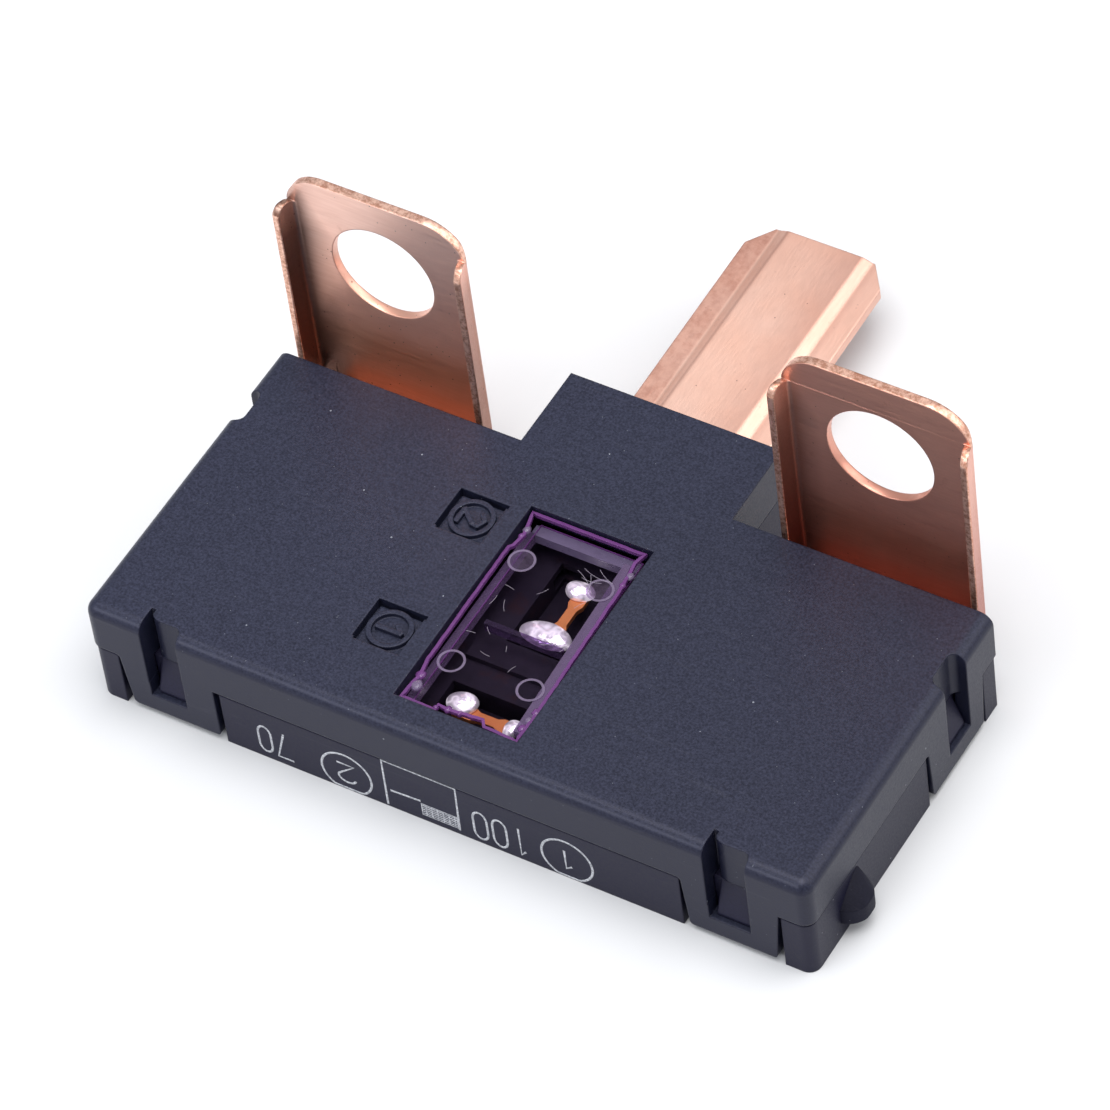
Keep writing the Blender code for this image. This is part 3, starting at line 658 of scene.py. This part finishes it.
def notch_plan(a, b, deep, slit=0.34, extra=0.7):
    """Seen from above: a slot with a rounded-off back wall and a deeper slit at its left."""
    return [
        (a, -1.0),
        (b, -1.0),
        (b, deep * 0.62),
        (b - 0.12, deep * 0.86),
        (b - 0.4, deep),
        (a + slit + 0.75, deep * 0.97),
        (a + slit + 0.42, deep * 1.02),
        (a + slit + 0.16, deep * 1.12),
        (a + slit, deep + 0.3),
        (a + slit, deep + extra),
        (a, deep + extra),
    ]


body, slot_shape = arm_front(*FRONT_L, 0.55, 0.0)
arm = prism_y(body, 0.0, ARM_T)
cut(arm, prism_y(slot_shape, -1.0, 2.0))
join(cover, arm)
body, slot_shape = arm_front(*FRONT_R, 0.4, 0.35)
arm = prism_y(body, 0.0, ARM_T)
cut(arm, prism_y(slot_shape, -1.0, 2.0))
join(cover, arm)
body, slot_shape = arm_front(*SIDE_A, 0.25, 0.25)
arm = prism_x(body, 0.0, ARM_T)
cut(arm, prism_x(slot_shape, -1.0, 2.0))
join(cover, arm)
arm = prism_x(body, BODY_W - ARM_T, BODY_W)
cut(arm, prism_x(slot_shape, BODY_W - 2.0, BODY_W + 1.0))
join(cover, arm)

hollow = [(x, y) for x, y in outline(WALL)]
cut(cover, prism_z(hollow, PARTING_Z - 1.0, BODY_H - COVER_ROOF))
cut(cover, box(WIN_X0, WIN_X1, WIN_Y0, WIN_Y1, 6.0, 9.0))
cut(cover, prism_z(notch_plan(FRONT_L[2], FRONT_L[3], SLOT_DEPTH), 3.0, 9.0))
cut(cover, prism_z(notch_plan(FRONT_R[2], FRONT_R[3], SLOT_DEPTH), 3.0, 9.0))
side_plan = rounded([(-1.0, SIDE_A[2]), (SLOT_DEPTH, SIDE_A[2]), (SLOT_DEPTH, SIDE_A[3]), (-1.0, SIDE_A[3])], [0, 0.55, 0.55, 0], 7)
cut(cover, prism_z(side_plan, 3.0, 9.0))
cut(cover, prism_z([(BODY_W - x, y) for x, y in side_plan], 3.0, 9.0))


for px, py in (POCKET_1, POCKET_2):
    cut(cover, box(px, px + POCKET, py, py + POCKET, BODY_H - POCKET_DEEP, 9.0))
    cut(cover, box(px - 0.12, px + POCKET + 0.12, py + POCKET - 0.12, py + POCKET + 0.16, BODY_H - 0.75, 9.0))
    cut(cover, box(px - 0.14, px + 0.1, py + 0.15, py + POCKET, BODY_H - 0.7, 9.0))
    cx, cy = px + POCKET / 2 + 0.05, py + POCKET / 2
    ring = post(cx, cy, DISC_R + 0.12, BODY_H - POCKET_DEEP - 0.3, BODY_H - 0.04, 56)
    cut(ring, post(cx, cy, DISC_R - 0.2, BODY_H - POCKET_DEEP + 0.02, 9.0, 56))
    join(cover, ring)
shade(cover, 30)
dress(cover, PLASTIC, "black_nylon_cover", "cover", "top_cover", "snap_arm_front_left", "snap_arm_front_right", "snap_arm_side_left", "snap_arm_side_right")

STROKES = {
    "1": [(-0.42, 0.30), (0.08, 0.82), (0.08, -0.86)],
    "2": [(-0.52, 0.48), (-0.12, 0.84), (0.42, 0.60), (0.36, 0.18), (-0.50, -0.80), (0.58, -0.80)],
}
for tag, (px, py) in (("1", POCKET_1), ("2", POCKET_2)):
    cx, cy = px + POCKET / 2 + 0.05, py + POCKET / 2
    path = [(cx + v, cy - u) for u, v in STROKES[tag]]
    bm = bmesh.new()
    for i, (p, q) in enumerate(zip(path, path[1:])):
        along = Vector((q[0] - p[0], q[1] - p[1])).normalized()
        side = Vector((-along.y, along.x)) * 0.16
        p = (p[0] - along.x * 0.08, p[1] - along.y * 0.08)
        q = (q[0] + along.x * 0.08, q[1] + along.y * 0.08)
        piece = prism_z([(p[0] + side.x, p[1] + side.y), (p[0] - side.x, p[1] - side.y), (q[0] - side.x, q[1] - side.y), (q[0] + side.x, q[1] + side.y)], BODY_H - POCKET_DEEP - 0.1, BODY_H - 0.03 - 0.008 * i)
        bm.from_mesh(piece.data)
        bpy.data.objects.remove(piece, do_unlink=True)
    dress(new_object(bm, "position_numeral_" + tag), PLASTIC, "black_nylon_cover", "cover")

# ================================================================ lens
lx0, lx1, ly0, ly1 = WIN_X0 + 0.1, WIN_X1 - 0.1, WIN_Y0 + 0.1, WIN_Y1 - 0.1
LENS_PLAN = [
    (20.95, 2.47),
    (23.5, 2.46),
    (23.5, 2.92),
    (23.9, 2.8),
    (26.37, 3.02),
    (26.68, 2.58),
    (29.11, 2.5),
    (29.15, 5.47),
    (29.0, 10.5),
    (28.87, 15.47),
    (28.62, 17.6),
    (28.85, 18.5),
    (20.82, 18.5),
    (20.98, 17.6),
    (21.19, 16.67),
    (21.04, 15.71),
    (20.84, 15.45),
    (20.92, 5.77),
    (21.15, 4.39),
    (20.98, 3.4),
]
lens = prism_z(LENS_PLAN, 7.05, LENS_TOP, "lens_plate")
dress(lens, LENS, "clear_lens", "cover", "window_lens")


def band(points, width, z0, z1, name, mat):
    """A closed strip along the inside of an outline."""
    inner = []
    cx = sum(p[0] for p in points) / len(points)
    cy = sum(p[1] for p in points) / len(points)
    count = len(points)
    for i in range(count):
        p, q, r = Vector(points[i - 1]), Vector(points[i]), Vector(points[(i + 1) % count])
        a, b = (q - p).normalized(), (r - q).normalized()
        n = Vector((-a.y - b.y, a.x + b.x))
        if n.length < 1e-6:
            n = Vector((-a.y, a.x))
        n.normalize()
        inner.append((q.x + n.x * width, q.y + n.y * width))
    bm = bmesh.new()
    o0 = [bm.verts.new(at(x, y, z0)) for x, y in points]
    o1 = [bm.verts.new(at(x, y, z1)) for x, y in points]
    i0 = [bm.verts.new(at(x, y, z0)) for x, y in inner]
    i1 = [bm.verts.new(at(x, y, z1)) for x, y in inner]
    for i in range(count):
        j = (i + 1) % count
        bm.faces.new((o0[i], o0[j], o1[j], o1[i]))
        bm.faces.new((i0[i], i0[j], i1[j], i1[i]))
        bm.faces.new((o1[i], o1[j], i1[j], i1[i]))
        bm.faces.new((o0[i], o0[j], i0[j], i0[i]))
    return dress(new_object(bm, name), mat, "clear_lens", "cover")




def walked(points, step, jitter, seed):
    """The outline cut into short steps, each nudged a little: a cut edge that isn't perfectly straight."""
    rng = random.Random(seed)
    out = []
    for i, p in enumerate(points):
        q = points[(i + 1) % len(points)]
        length = math.hypot(q[0] - p[0], q[1] - p[1])
        count = max(1, int(length / step))
        for k in range(count):
            t = k / count
            out.append((p[0] + (q[0] - p[0]) * t + rng.uniform(-jitter, jitter), p[1] + (q[1] - p[1]) * t + rng.uniform(-jitter, jitter)))
    return out


rough_plan = walked(LENS_PLAN, 0.35, 0.022, 5)
band(rough_plan, 0.21, 7.62, LENS_TOP + 0.015, "lens_rim", VIOLET)
inner_plan = [(lx0 + 0.62, ly0 + 0.55), (lx1 - 0.55, ly0 + 0.55), (lx1 - 0.55, ly1 - 0.2), (lx0 + 0.62, ly1 - 0.2)]
band(inner_plan, 0.07, 7.0, 7.1, "lens_inner_edge", VIOLET)
for tag, x0, x1, y0, y1, mat in (
    ("left", lx0 + 0.1, lx0 + 0.62, ly0 + 0.6, ly1 - 0.9, GREY_WALL),
    ("divider", 22.2, 27.6, 10.15, 10.5, DIVIDER),
    ("back", lx0 + 0.35, lx1 - 0.55, ly1 - 1.0, ly1 - 0.25, BACK_WALL),
    ("front", lx0 + 0.2, lx1 - 0.2, ly0 + 0.1, ly0 + 0.5, GREY_WALL),
):
    dress(box(x0, x1, y0, y1, 6.3, 7.0, "lens_wall_" + tag), mat, "clear_lens", "cover")
dress(prism_z([(28.45, 3.2), (28.95, 3.2), (28.85, 9.8), (28.68, 15.4), (28.4, 17.3), (27.95, 17.3), (28.2, 10.0)], 7.3, LENS_TOP - 0.04, "lens_wall_right"), GREY_WALL, "clear_lens", "cover")
# the mould marks and small chips along the lens's edge
rng = random.Random(8)
for i, (cx, cy, size) in enumerate(((21.25, 17.1, 0.3), (21.2, 16.55, 0.22), (21.25, 4.55, 0.32), (21.45, 3.75, 0.42), (24.1, 2.95, 0.26), (24.9, 2.98, 0.2), (28.75, 16.6, 0.28), (28.7, 15.75, 0.24), (28.95, 5.0, 0.3), (28.85, 4.3, 0.26), (28.8, 3.6, 0.3), (23.35, 2.75, 0.2))):
    bm = bmesh.new()
    bmesh.ops.create_icosphere(bm, subdivisions=2, radius=1.0)
    for v in bm.verts:
        n = v.co.copy()
        v.co = Vector((n.x * size * rng.uniform(0.7, 1.15), n.y * size * rng.uniform(0.8, 1.3), n.z * 0.2)) * MM
    bmesh.ops.translate(bm, vec=at(cx, cy, LENS_TOP - 0.12), verts=bm.verts)
    dress(new_object(bm, "lens_chip_%d" % (i + 1), True), RING if i % 3 == 0 else VIOLET, "clear_lens", "cover")


def flat_ring(cx, cy, outer_r, inner_r, z, name, mat):
    bm = bmesh.new()
    outer = list(bmesh.ops.create_circle(bm, segments=48, radius=outer_r * MM)["verts"])
    inner = list(bmesh.ops.create_circle(bm, segments=48, radius=inner_r * MM)["verts"])
    for k in range(48):
        bm.faces.new((outer[k], outer[(k + 1) % 48], inner[(k + 1) % 48], inner[k]))
    bmesh.ops.translate(bm, verts=bm.verts, vec=at(cx, cy, z))
    return dress(new_object(bm, name), mat, "clear_lens", "cover")


for i, (cx, cy, filled) in enumerate(((22.25, 14.8, True), (27.7, 14.8, True), (22.4, 6.2, False), (27.8, 6.3, False))):
    flat_ring(cx, cy, 0.88, 0.72, LENS_TOP + 0.012, "lens_ring_%d" % (i + 1), RING)
    if filled:
        bm = bmesh.new()
        bmesh.ops.create_circle(bm, cap_ends=True, segments=40, radius=0.7 * MM)
        bmesh.ops.translate(bm, verts=bm.verts, vec=at(cx, cy, LENS_TOP + 0.006))
        dress(new_object(bm, "lens_pad_%d" % (i + 1)), RING_FILL, "clear_lens", "cover")

# a few fine hairs and scratches on the lens
hairs = []
rng = random.Random(23)
for cx, cy, length, turn, curl in (
    (26.0, 15.9, 2.2, -0.5, 0.3),
    (26.6, 15.6, 1.9, -0.9, -0.4),
    (26.2, 15.2, 1.5, -0.3, 0.5),
    (25.7, 15.6, 2.4, -0.35, -0.25),
    (26.9, 16.2, 1.6, -0.75, 0.35),
    (27.0, 12.9, 1.0, 1.3, -0.5),
    (26.6, 9.6, 1.1, 0.2, 0.9),
    (23.6, 7.6, 0.8, -0.4, 0.6),
    (25.9, 6.9, 0.7, 1.5, -0.7),
    (22.2, 11.0, 0.9, 1.2, 0.6),
    (23.3, 10.9, 1.0, 2.3, -0.5),
    (24.4, 12.9, 0.9, 0.7, 0.6),
    (23.0, 12.6, 0.8, 2.8, 0.4),
    (27.9, 9.6, 0.9, 1.0, 0.8),
    (23.0, 9.4, 0.7, -0.9, 0.4),
    (27.2, 13.7, 0.7, 0.4, 0.7),
    (25.0, 8.2, 0.5, 1.9, 0.3),
    (22.0, 8.6, 0.7, 0.3, -0.5),
):
    points = []
    heading = turn
    x, y = cx, cy
    for k in range(9):
        points.append((x, y))
        heading += curl * length / 9
        x += math.cos(heading) * length / 9
        y += math.sin(heading) * length / 9
    curve = bpy.data.curves.new("hair", "CURVE")
    curve.dimensions = "3D"
    curve.bevel_depth = 0.013 * MM
    curve.bevel_resolution = 0
    spline = curve.splines.new("POLY")
    spline.points.add(len(points) - 1)
    for p, (a, b) in zip(spline.points, points):
        p.co = (*at(a, b, LENS_TOP + 0.02), 1.0)
    obj = bpy.data.objects.new("hair", curve)
    bpy.context.scene.collection.objects.link(obj)
    bpy.context.view_layer.update()
    hairs.append(bpy.data.meshes.new_from_object(obj.evaluated_get(bpy.context.evaluated_depsgraph_get())))
    bpy.data.objects.remove(obj, do_unlink=True)
bm = bmesh.new()
for m in hairs:
    bm.from_mesh(m)
dress(new_object(bm, "lens_lint"), HAIR, "clear_lens", "cover")

# ================================================================ base
base = shell_block(BASE_INSET, 0.0, 4.38, 0.8, False, "base_moulding")
join(base, shell_block(0.4, 3.9, BASE_TOP, 0.6, False, "upper"))
join(base, box(2.3, 47.7, 2.3, 20.6, 3.0, DECK_TOP))
join(base, box(19.9, 29.9, 20.0, 26.8, 3.0, DECK_TOP))
for tag, (a, b, _, _) in (("left", FRONT_L), ("right", FRONT_R)):
    cut(base, box(a - 0.12, b + 0.38 if tag == "left" else b + 0.12, -1.0, RECESS, -1.0, 9.0))
cut(base, box(-1.0, RECESS, SIDE_A[0] - 0.15, SIDE_A[1] + 0.15, -1.0, 9.0))
cut(base, box(BODY_W - RECESS, BODY_W + 2.0, SIDE_A[0] - 0.15, SIDE_A[1] + 0.15, -1.0, 9.0))
wedge = [
    (RECESS + 0.3, WEDGE_Z0),
    (RECESS - WEDGE_OUT, WEDGE_Z0),
    (RECESS - WEDGE_OUT, WEDGE_Z0 + 0.35),
    (RECESS, WEDGE_Z1),
    (RECESS + 0.3, WEDGE_Z1),
]
for _, _, a, b in (FRONT_L, FRONT_R):
    join(base, prism_x(wedge, a + 0.45, b - 0.12))
join(base, prism_y(wedge, SIDE_A[2] + 0.2, SIDE_A[3] - 0.2))
join(base, prism_y([(BODY_W - x, z) for x, z in wedge], SIDE_A[2] + 0.2, SIDE_A[3] - 0.2))
for x0, x1, y0, y1 in ((TAB_L_X0 + 1.45, 13.5, 20.6, 24.4), (35.8, 46.8, 20.6, 24.4)):
    cut(base, box(x0, x1, y0, y1, 3.6, 4.8))
cut(base, box(19.6, 29.6, 27.0, 30.0, 3.0, 9.0))
cut(base, box(22.1, 27.15, 16.5, 28.0, 3.6, 4.53))
cut(base, box(21.8, 28.1, 4.15, 6.85, 3.2, 9.0))
cut(base, box(23.1, 27.1, 10.9, 17.7, 3.2, 9.0))
join(base, box(21.6, 28.4, 8.7, 10.1, DECK_TOP - 0.5, 5.4))
shade(base, 30)
dress(base, PLASTIC_BASE, "black_nylon_base", "base", "base_housing")
base.data.materials.append(INSIDE)
for poly in base.data.polygons:
    spot = poly.center
    x, y = spot.x / MM + CENTRE[0], spot.y / MM + CENTRE[1]
    if spot.z > 3.0 * MM and 2.4 < y < 24.0 and 3.0 < x < 47.0:
        poly.material_index = 1

# half-round nub on the right side
bm = bmesh.new()
plan = [(49.2, 3.35)] + arc(BODY_W - 0.35, 4.85, 1.5, -90, 90, 20) + [(49.2, 6.35)]
low = [bm.verts.new(at(min(x + 0.05, BODY_W + 1.15), y, 1.25)) for x, y in plan]
high = [bm.verts.new(at(min(x + 0.05, BODY_W + 1.15), y, 2.4)) for x, y in plan]
tip = bm.verts.new(at(BODY_W - 0.35, 5.7, 4.42))
bm.faces.new(low)
for i in range(len(plan)):
    j = (i + 1) % len(plan)
    bm.faces.new((low[i], low[j], high[j], high[i]))
    bm.faces.new((high[i], high[j], tip))
nub = new_object(bm, "side_nub")
shade(nub, 25)
dress(nub, PLASTIC_NUB_SHADED, "black_nylon_base", "base")


# ================================================================ side terminals
def tab_visual(name, x0, neck_a, neck_b, node_name):
    x1 = x0 + TAB_W
    lean, r = FLANGE_SPLAY, BEND_R
    inner = [
        (x0 - lean, FLANGE_FRONT),
        (x0 - lean + FLANGE_T, FLANGE_FRONT),
        (x0 + FLANGE_T, TAB_FRONT),
        (x1 - FLANGE_T, TAB_FRONT),
        (x1 + lean - FLANGE_T, FLANGE_FRONT),
        (x1 + lean, FLANGE_FRONT),
        (x1, TAB_BACK - r),
        (x0, TAB_BACK - r),
    ]
    plan = rounded(inner, [0.1, 0.1, 0.3, 0.3, 0.1, 0.1, 0, 0], 6)[:-2]
    plan += arc(x1 - r, TAB_BACK - r, r, 0, 90, 8) + arc(x0 + r, TAB_BACK - r, r, 90, 180, 8)
    tab = prism_z(plan, FLANGE_Z0, TAB_TOP, name)
    # rounded heads of the flanges, with a small nick where they leave the tab
    head = rounded([(FLANGE_FRONT, 18.0), (FLANGE_FRONT, 19.9), (24.1, 20.56), (24.7, 20.5), (TAB_FRONT, 20.3)], [0, 0.9, 0.6, 0.4, 0], 6)
    above = [(FLANGE_FRONT - 2, 18.0)] + head + [(TAB_FRONT, 30), (FLANGE_FRONT - 2, 30)]
    cut(tab, prism_x(above, x0 - 2, x1 + 2))
    # rounded top corners
    left = arc(x0 + CORNER_L, TAB_TOP - CORNER_L, CORNER_L, 180, 90, 12) + [(x0 + CORNER_L, 30), (x0 - 2, 30), (x0 - 2, TAB_TOP - CORNER_L)]
    right = arc(x1 - CORNER_R, TAB_TOP - CORNER_R, CORNER_R, 0, 90, 12) + [(x1 - CORNER_R, 30), (x1 + 2, 30), (x1 + 2, TAB_TOP - CORNER_R)]
    cut(tab, prism_y(left, TAB_FRONT, 30.0))
    cut(tab, prism_y(right, TAB_FRONT, 30.0))
    cut(tab, prism_y(disc_points(x0 + TAB_W / 2, HOLE_Z, HOLE_R, 96), 20.0, 30.0))
    # bend and the start of the inner plate
    z0, z1, r = SHEET_TOP - SHEET, SHEET_TOP, 1.3
    bend = [(20.8, z1), (20.8, z0)] + [(TAB_BACK - r + r * math.sin(math.radians(d)), z0 + r - r * math.cos(math.radians(d))) for d in range(0, 91, 9)]
    bend += [(TAB_BACK, 6.4), (TAB_FRONT, 6.4)] + [(TAB_FRONT - 0.55 + 0.55 * math.cos(math.radians(d)), z1 + 0.55 + 0.55 * math.sin(math.radians(d))) for d in range(0, -91, -15)]
    neck = prism_x(bend, neck_a, neck_b)
    join(tab, neck)
    # faces left in one plane by the cuts become one face again
    bm = bmesh.new()
    bm.from_mesh(tab.data)
    bmesh.ops.dissolve_limit(bm, angle_limit=math.radians(1.0), verts=list(bm.verts), edges=list(bm.edges))
    bm.to_mesh(tab.data)
    bm.free()
    soften(tab, 0.09, 2, 40)
    shade(tab, 38)
    return dress(tab, COPPER_TAB_L if x0 < 10 else COPPER_TAB_R, "copper_sheet", "base", node_name)


tab_visual("left_tab", TAB_L_X0, TAB_L_X0 + 1.55, 13.4, "left_terminal")
tab_visual("right_tab", TAB_R_X0, 35.9, 46.7, "right_terminal")

# ================================================================ blade
k = 0.25
drop = SHEET_TOP - BLADE_STEP
hat = [
    (BLADE_X0, drop),
    (LAND_X0 - BLADE_SLOPE, drop),
    (LAND_X0, SHEET_TOP),
    (LAND_X1, SHEET_TOP),
    (LAND_X1 + BLADE_SLOPE, drop),
    (BLADE_X1, drop),
    (BLADE_X1, drop - SHEET),
    (LAND_X1 + BLADE_SLOPE - k, drop - SHEET),
    (LAND_X1 - k, SHEET_TOP - SHEET),
    (LAND_X0 + k, SHEET_TOP - SHEET),
    (LAND_X0 - BLADE_SLOPE + k, drop - SHEET),
    (BLADE_X0, drop - SHEET),
]
blade = prism_y(rounded(hat, [0.1, 0.25, 0.3, 0.3, 0.25, 0.1, 0.1, 0.2, 0.2, 0.2, 0.2, 0.1], 4), 27.1, BLADE_TIP_Y, "blade")
for v in blade.data.vertices:
    x, y = v.co.x / MM + CENTRE[0], v.co.y / MM + CENTRE[1]
    if y < BLADE_TIP_Y - 0.01:
        continue
    away = max(LAND_X0 - x, x - LAND_X1, 0.0)
    lift = min(away / BLADE_SLOPE, 1.0)
    v.co.z += BLADE_FADE * BLADE_STEP * lift * MM
reach = BLADE_CH_Y * 1.74
cut(blade, prism_z([(BLADE_X0 - 1, BLADE_TIP_Y - reach), (BLADE_X0 + BLADE_CH_X, BLADE_TIP_Y), (BLADE_X0 + BLADE_CH_X, BLADE_TIP_Y + 1), (BLADE_X0 - 1, BLADE_TIP_Y + 1)], 0.0, 9.0))
cut(blade, prism_z([(BLADE_X1 + 1, BLADE_TIP_Y - reach), (BLADE_X1 + 1, BLADE_TIP_Y + 1), (BLADE_X1 - BLADE_CH_X, BLADE_TIP_Y + 1), (BLADE_X1 - BLADE_CH_X, BLADE_TIP_Y)], 0.0, 9.0))
shade(blade, 50)
dress(blade, COPPER_BLADE, "copper_sheet", "base", "centre_terminal")

# ================================================================ links and tin
for name in ("fuse_link_1", "fuse_link_2"):
    obj = NODES[name]
    obj.data.materials.clear()
    obj.data.materials.append(LINK_METAL)


def blob(name, cx, cy, rx, ry, height, seed, node_name):
    bm = bmesh.new()
    bmesh.ops.create_uvsphere(bm, u_segments=48, v_segments=24, radius=1.0)
    rng = random.Random(seed)
    phase = [rng.uniform(0, 6.28) for _ in range(4)]
    for v in bm.verts:
        t = math.atan2(v.co.y, v.co.x)
        swell = 0.93 + 0.05 * math.sin(2 * t + phase[0]) + 0.03 * math.sin(3 * t + phase[1])
        lump = 0.92 + 0.08 * math.sin(2.3 * v.co.x + phase[2]) * math.cos(2.1 * v.co.y + phase[3])
        z = max(v.co.z, -0.12)
        v.co = Vector((v.co.x * rx * swell * MM, v.co.y * ry * swell * MM, z * height * lump * MM))
    bmesh.ops.translate(bm, vec=at(cx, cy, 4.95), verts=bm.verts)
    obj = new_object(bm, name, True)
    return dress(obj, TIN, "tin", "base", node_name)


blob("tin_blob_1a", 23.2, 5.55, 1.05, 0.95, 0.6, 1, "tin_joint_1a")
blob("tin_blob_1b", 26.95, 5.15, 0.65, 0.75, 0.5, 2, "tin_joint_1b")
blob("tin_blob_2a", 25.1, 12.3, 1.8, 1.05, 0.65, 3, "tin_joint_2a")
blob("tin_blob_2b", 25.2, 16.2, 1.0, 0.8, 0.6, 4, "tin_joint_2b")


# ================================================================ white print on the front face
def stroke(points, width, name, closed=False):
    """A thin flat line on the front face, through points given as (x, z)."""
    curve = bpy.data.curves.new(name, "CURVE")
    curve.dimensions = "3D"
    curve.bevel_depth = width * MM / 2
    curve.bevel_resolution = 1
    spline = curve.splines.new("POLY")
    spline.points.add(len(points) - 1)
    for p, (x, z) in zip(spline.points, points):
        p.co = (*at(x, BASE_INSET, z), 1.0)
    spline.use_cyclic_u = closed
    obj = bpy.data.objects.new(name, curve)
    bpy.context.scene.collection.objects.link(obj)
    bpy.context.view_layer.update()
    graph = bpy.context.evaluated_depsgraph_get()
    mesh = bpy.data.meshes.new_from_object(obj.evaluated_get(graph))
    bpy.data.objects.remove(obj, do_unlink=True)
    # flattened to a film on the face
    for v in mesh.vertices:
        v.co.y = at(0, BASE_INSET, 0).y + (v.co.y - at(0, BASE_INSET, 0).y) * 0.12
    return mesh


def printed(meshes, name):
    bm = bmesh.new()
    for m in meshes:
        bm.from_mesh(m)
    return dress(new_object(bm, name), INK, "black_nylon_base", "base")


def digit(ch, x0, x1, z0, z1):
    """Stroke lines of an upside-down digit inside a box on the face. x0 is its right side as read."""
    w, h = x1 - x0, z1 - z0

    def p(u, v):
        return (x1 - u * w, z1 - v * h)

    def ell(cu, cv, ru, rv, a0, a1, n=16):
        return [p(cu + ru * math.cos(math.radians(a0 + (a1 - a0) * i / n)), cv + rv * math.sin(math.radians(a0 + (a1 - a0) * i / n))) for i in range(n + 1)]

    if ch == "0":
        return [ell(0.5, 0.72, 0.5, 0.28, 0, 180) + ell(0.5, 0.28, 0.5, 0.28, 180, 360) + [p(1.0, 0.72)]]
    if ch == "1":
        return [[p(0.25, 0.82), p(0.6, 1.0), p(0.6, 0.0)]]
    if ch == "7":
        return [[p(0.0, 1.0), p(1.0, 1.0), p(0.42, 0.0)]]
    if ch == "2":
        return [ell(0.5, 0.72, 0.5, 0.28, 170, -25) + [p(0.0, 0.0), p(1.0, 0.0)]]
    return []


PRINT_W = 0.19
lines = []
for ch, x0, x1 in (("7", 12.95, 14.05), ("0", 11.7, 12.6)):
    lines += [stroke(s, PRINT_W, "s") for s in digit(ch, x0, x1, 0.6, 2.95)]
for ch, x0, x1 in (("1", 29.6, 30.6), ("0", 28.15, 29.1), ("0", 26.8, 27.75)):
    lines += [stroke(s, PRINT_W, "s") for s in digit(ch, x0, x1, 0.4, 2.9)]
for ch, cx, cz in (("2", 17.9, 1.56), ("1", 33.25, 1.7)):
    a0, a1 = (-40, 220) if ch == "2" else (-35, 215)
    circle = [(x, max(0.12, z)) for x, z in arc(cx, cz, 1.75, -90, 270, 48)]
    lines.append(stroke(circle, PRINT_W, "s", True))
    lines += [stroke(s, PRINT_W, "s") for s in digit(ch, cx - 0.6, cx + 0.6, cz - 0.85, cz + 0.85)]
lines.append(stroke([(20.65, 0.16), (20.68, 4.35), (25.8, 4.35), (25.7, 0.4)], PRINT_W, "s"))
lines.append(stroke([(21.0, 1.65), (23.12, 1.77)], PRINT_W, "s"))
lines.append(stroke([(23.14, 0.52), (25.62, 0.52), (25.62, 1.54), (23.14, 1.54)], 0.12, "s", True))
for i in range(5):
    z = 0.68 + i * 0.18
    lines.append(stroke([(23.2, z), (25.58, z)], 0.1, "s"))
for i in range(6):
    x = 23.45 + i * 0.4
    lines.append(stroke([(x, 0.55), (x, 1.5)], 0.07, "s"))
printed(lines, "front_print")


# ================================================================ floor, light and camera
def plain(name, colour, roughness):
    mat, nt, shader = tree_of(name)
    shader.inputs["Base Color"].default_value = (*colour, 1)
    shader.inputs["Roughness"].default_value = roughness
    shader.inputs["Specular IOR Level"].default_value = 0.2
    return mat


bpy.ops.mesh.primitive_plane_add(size=3.0, location=(0, 0, -0.00002))
floor = bpy.context.active_object
floor.name = "floor"
floor.data.materials.append(plain("floor_white", (0.63, 0.633, 0.643), 0.6))

world = bpy.data.worlds.new("studio")
bpy.context.scene.world = world
world.use_nodes = True
world.node_tree.nodes["Background"].inputs[0].default_value = (0.93, 0.95, 1.0, 1)
world.node_tree.nodes["Background"].inputs[1].default_value = 0.53


def area(name, azimuth, elevation, distance, size, size_y, power, colour=(1, 1, 1)):
    light = bpy.data.lights.new(name, "AREA")
    light.shape = "RECTANGLE"
    light.size, light.size_y = size, size_y
    light.energy = power
    light.color = colour
    obj = bpy.data.objects.new(name, light)
    a, e = math.radians(azimuth), math.radians(elevation)
    back = Vector((math.sin(a) * math.cos(e), -math.cos(a) * math.cos(e), math.sin(e)))
    obj.location = back * distance
    obj.rotation_mode = "QUATERNION"
    obj.rotation_quaternion = (-back).to_track_quat("-Z", "Y")
    bpy.context.scene.collection.objects.link(obj)
    return obj


area("overhead", 60, 84, 0.6, 0.55, 0.5, 4.4, (1.0, 1.0, 1.0))
area("right_back", 128, 34, 0.7, 0.55, 0.5, 1.7, (1.0, 0.99, 0.98))
area("front_left", -27, 33, 0.8, 0.6, 0.08, 2.4, (0.90, 0.94, 1.0))

az, el, roll = 0.63759, 0.85513, -0.14666
focal, shift_x, shift_y, distance = 6982.69, 2.2483, -0.89558, 422.721
look = Vector((25.0, 18.0, 5.0))
r = Vector((math.cos(az), math.sin(az), 0))
b = Vector((math.sin(az) * math.cos(el), -math.cos(az) * math.cos(el), math.sin(el)))
u = b.cross(r)
r2 = math.cos(roll) * r + math.sin(roll) * u
u2 = -math.sin(roll) * r + math.cos(roll) * u
eye = look + r2 * (-shift_x) + u2 * (-shift_y) + b * distance
cam_data = bpy.data.cameras.new("camera")
cam = bpy.data.objects.new("camera", cam_data)
bpy.context.scene.collection.objects.link(cam)
cam_data.sensor_width = 36.0
cam_data.lens = focal / 1110.0 * 36.0
cam_data.clip_start, cam_data.clip_end = 0.02, 10.0
turn = Matrix((r2, u2, b)).transposed().to_4x4()
cam.matrix_world = Matrix.Translation(at(*eye)) @ turn
bpy.context.scene.camera = cam
bpy.context.scene.view_settings.view_transform = "Standard"
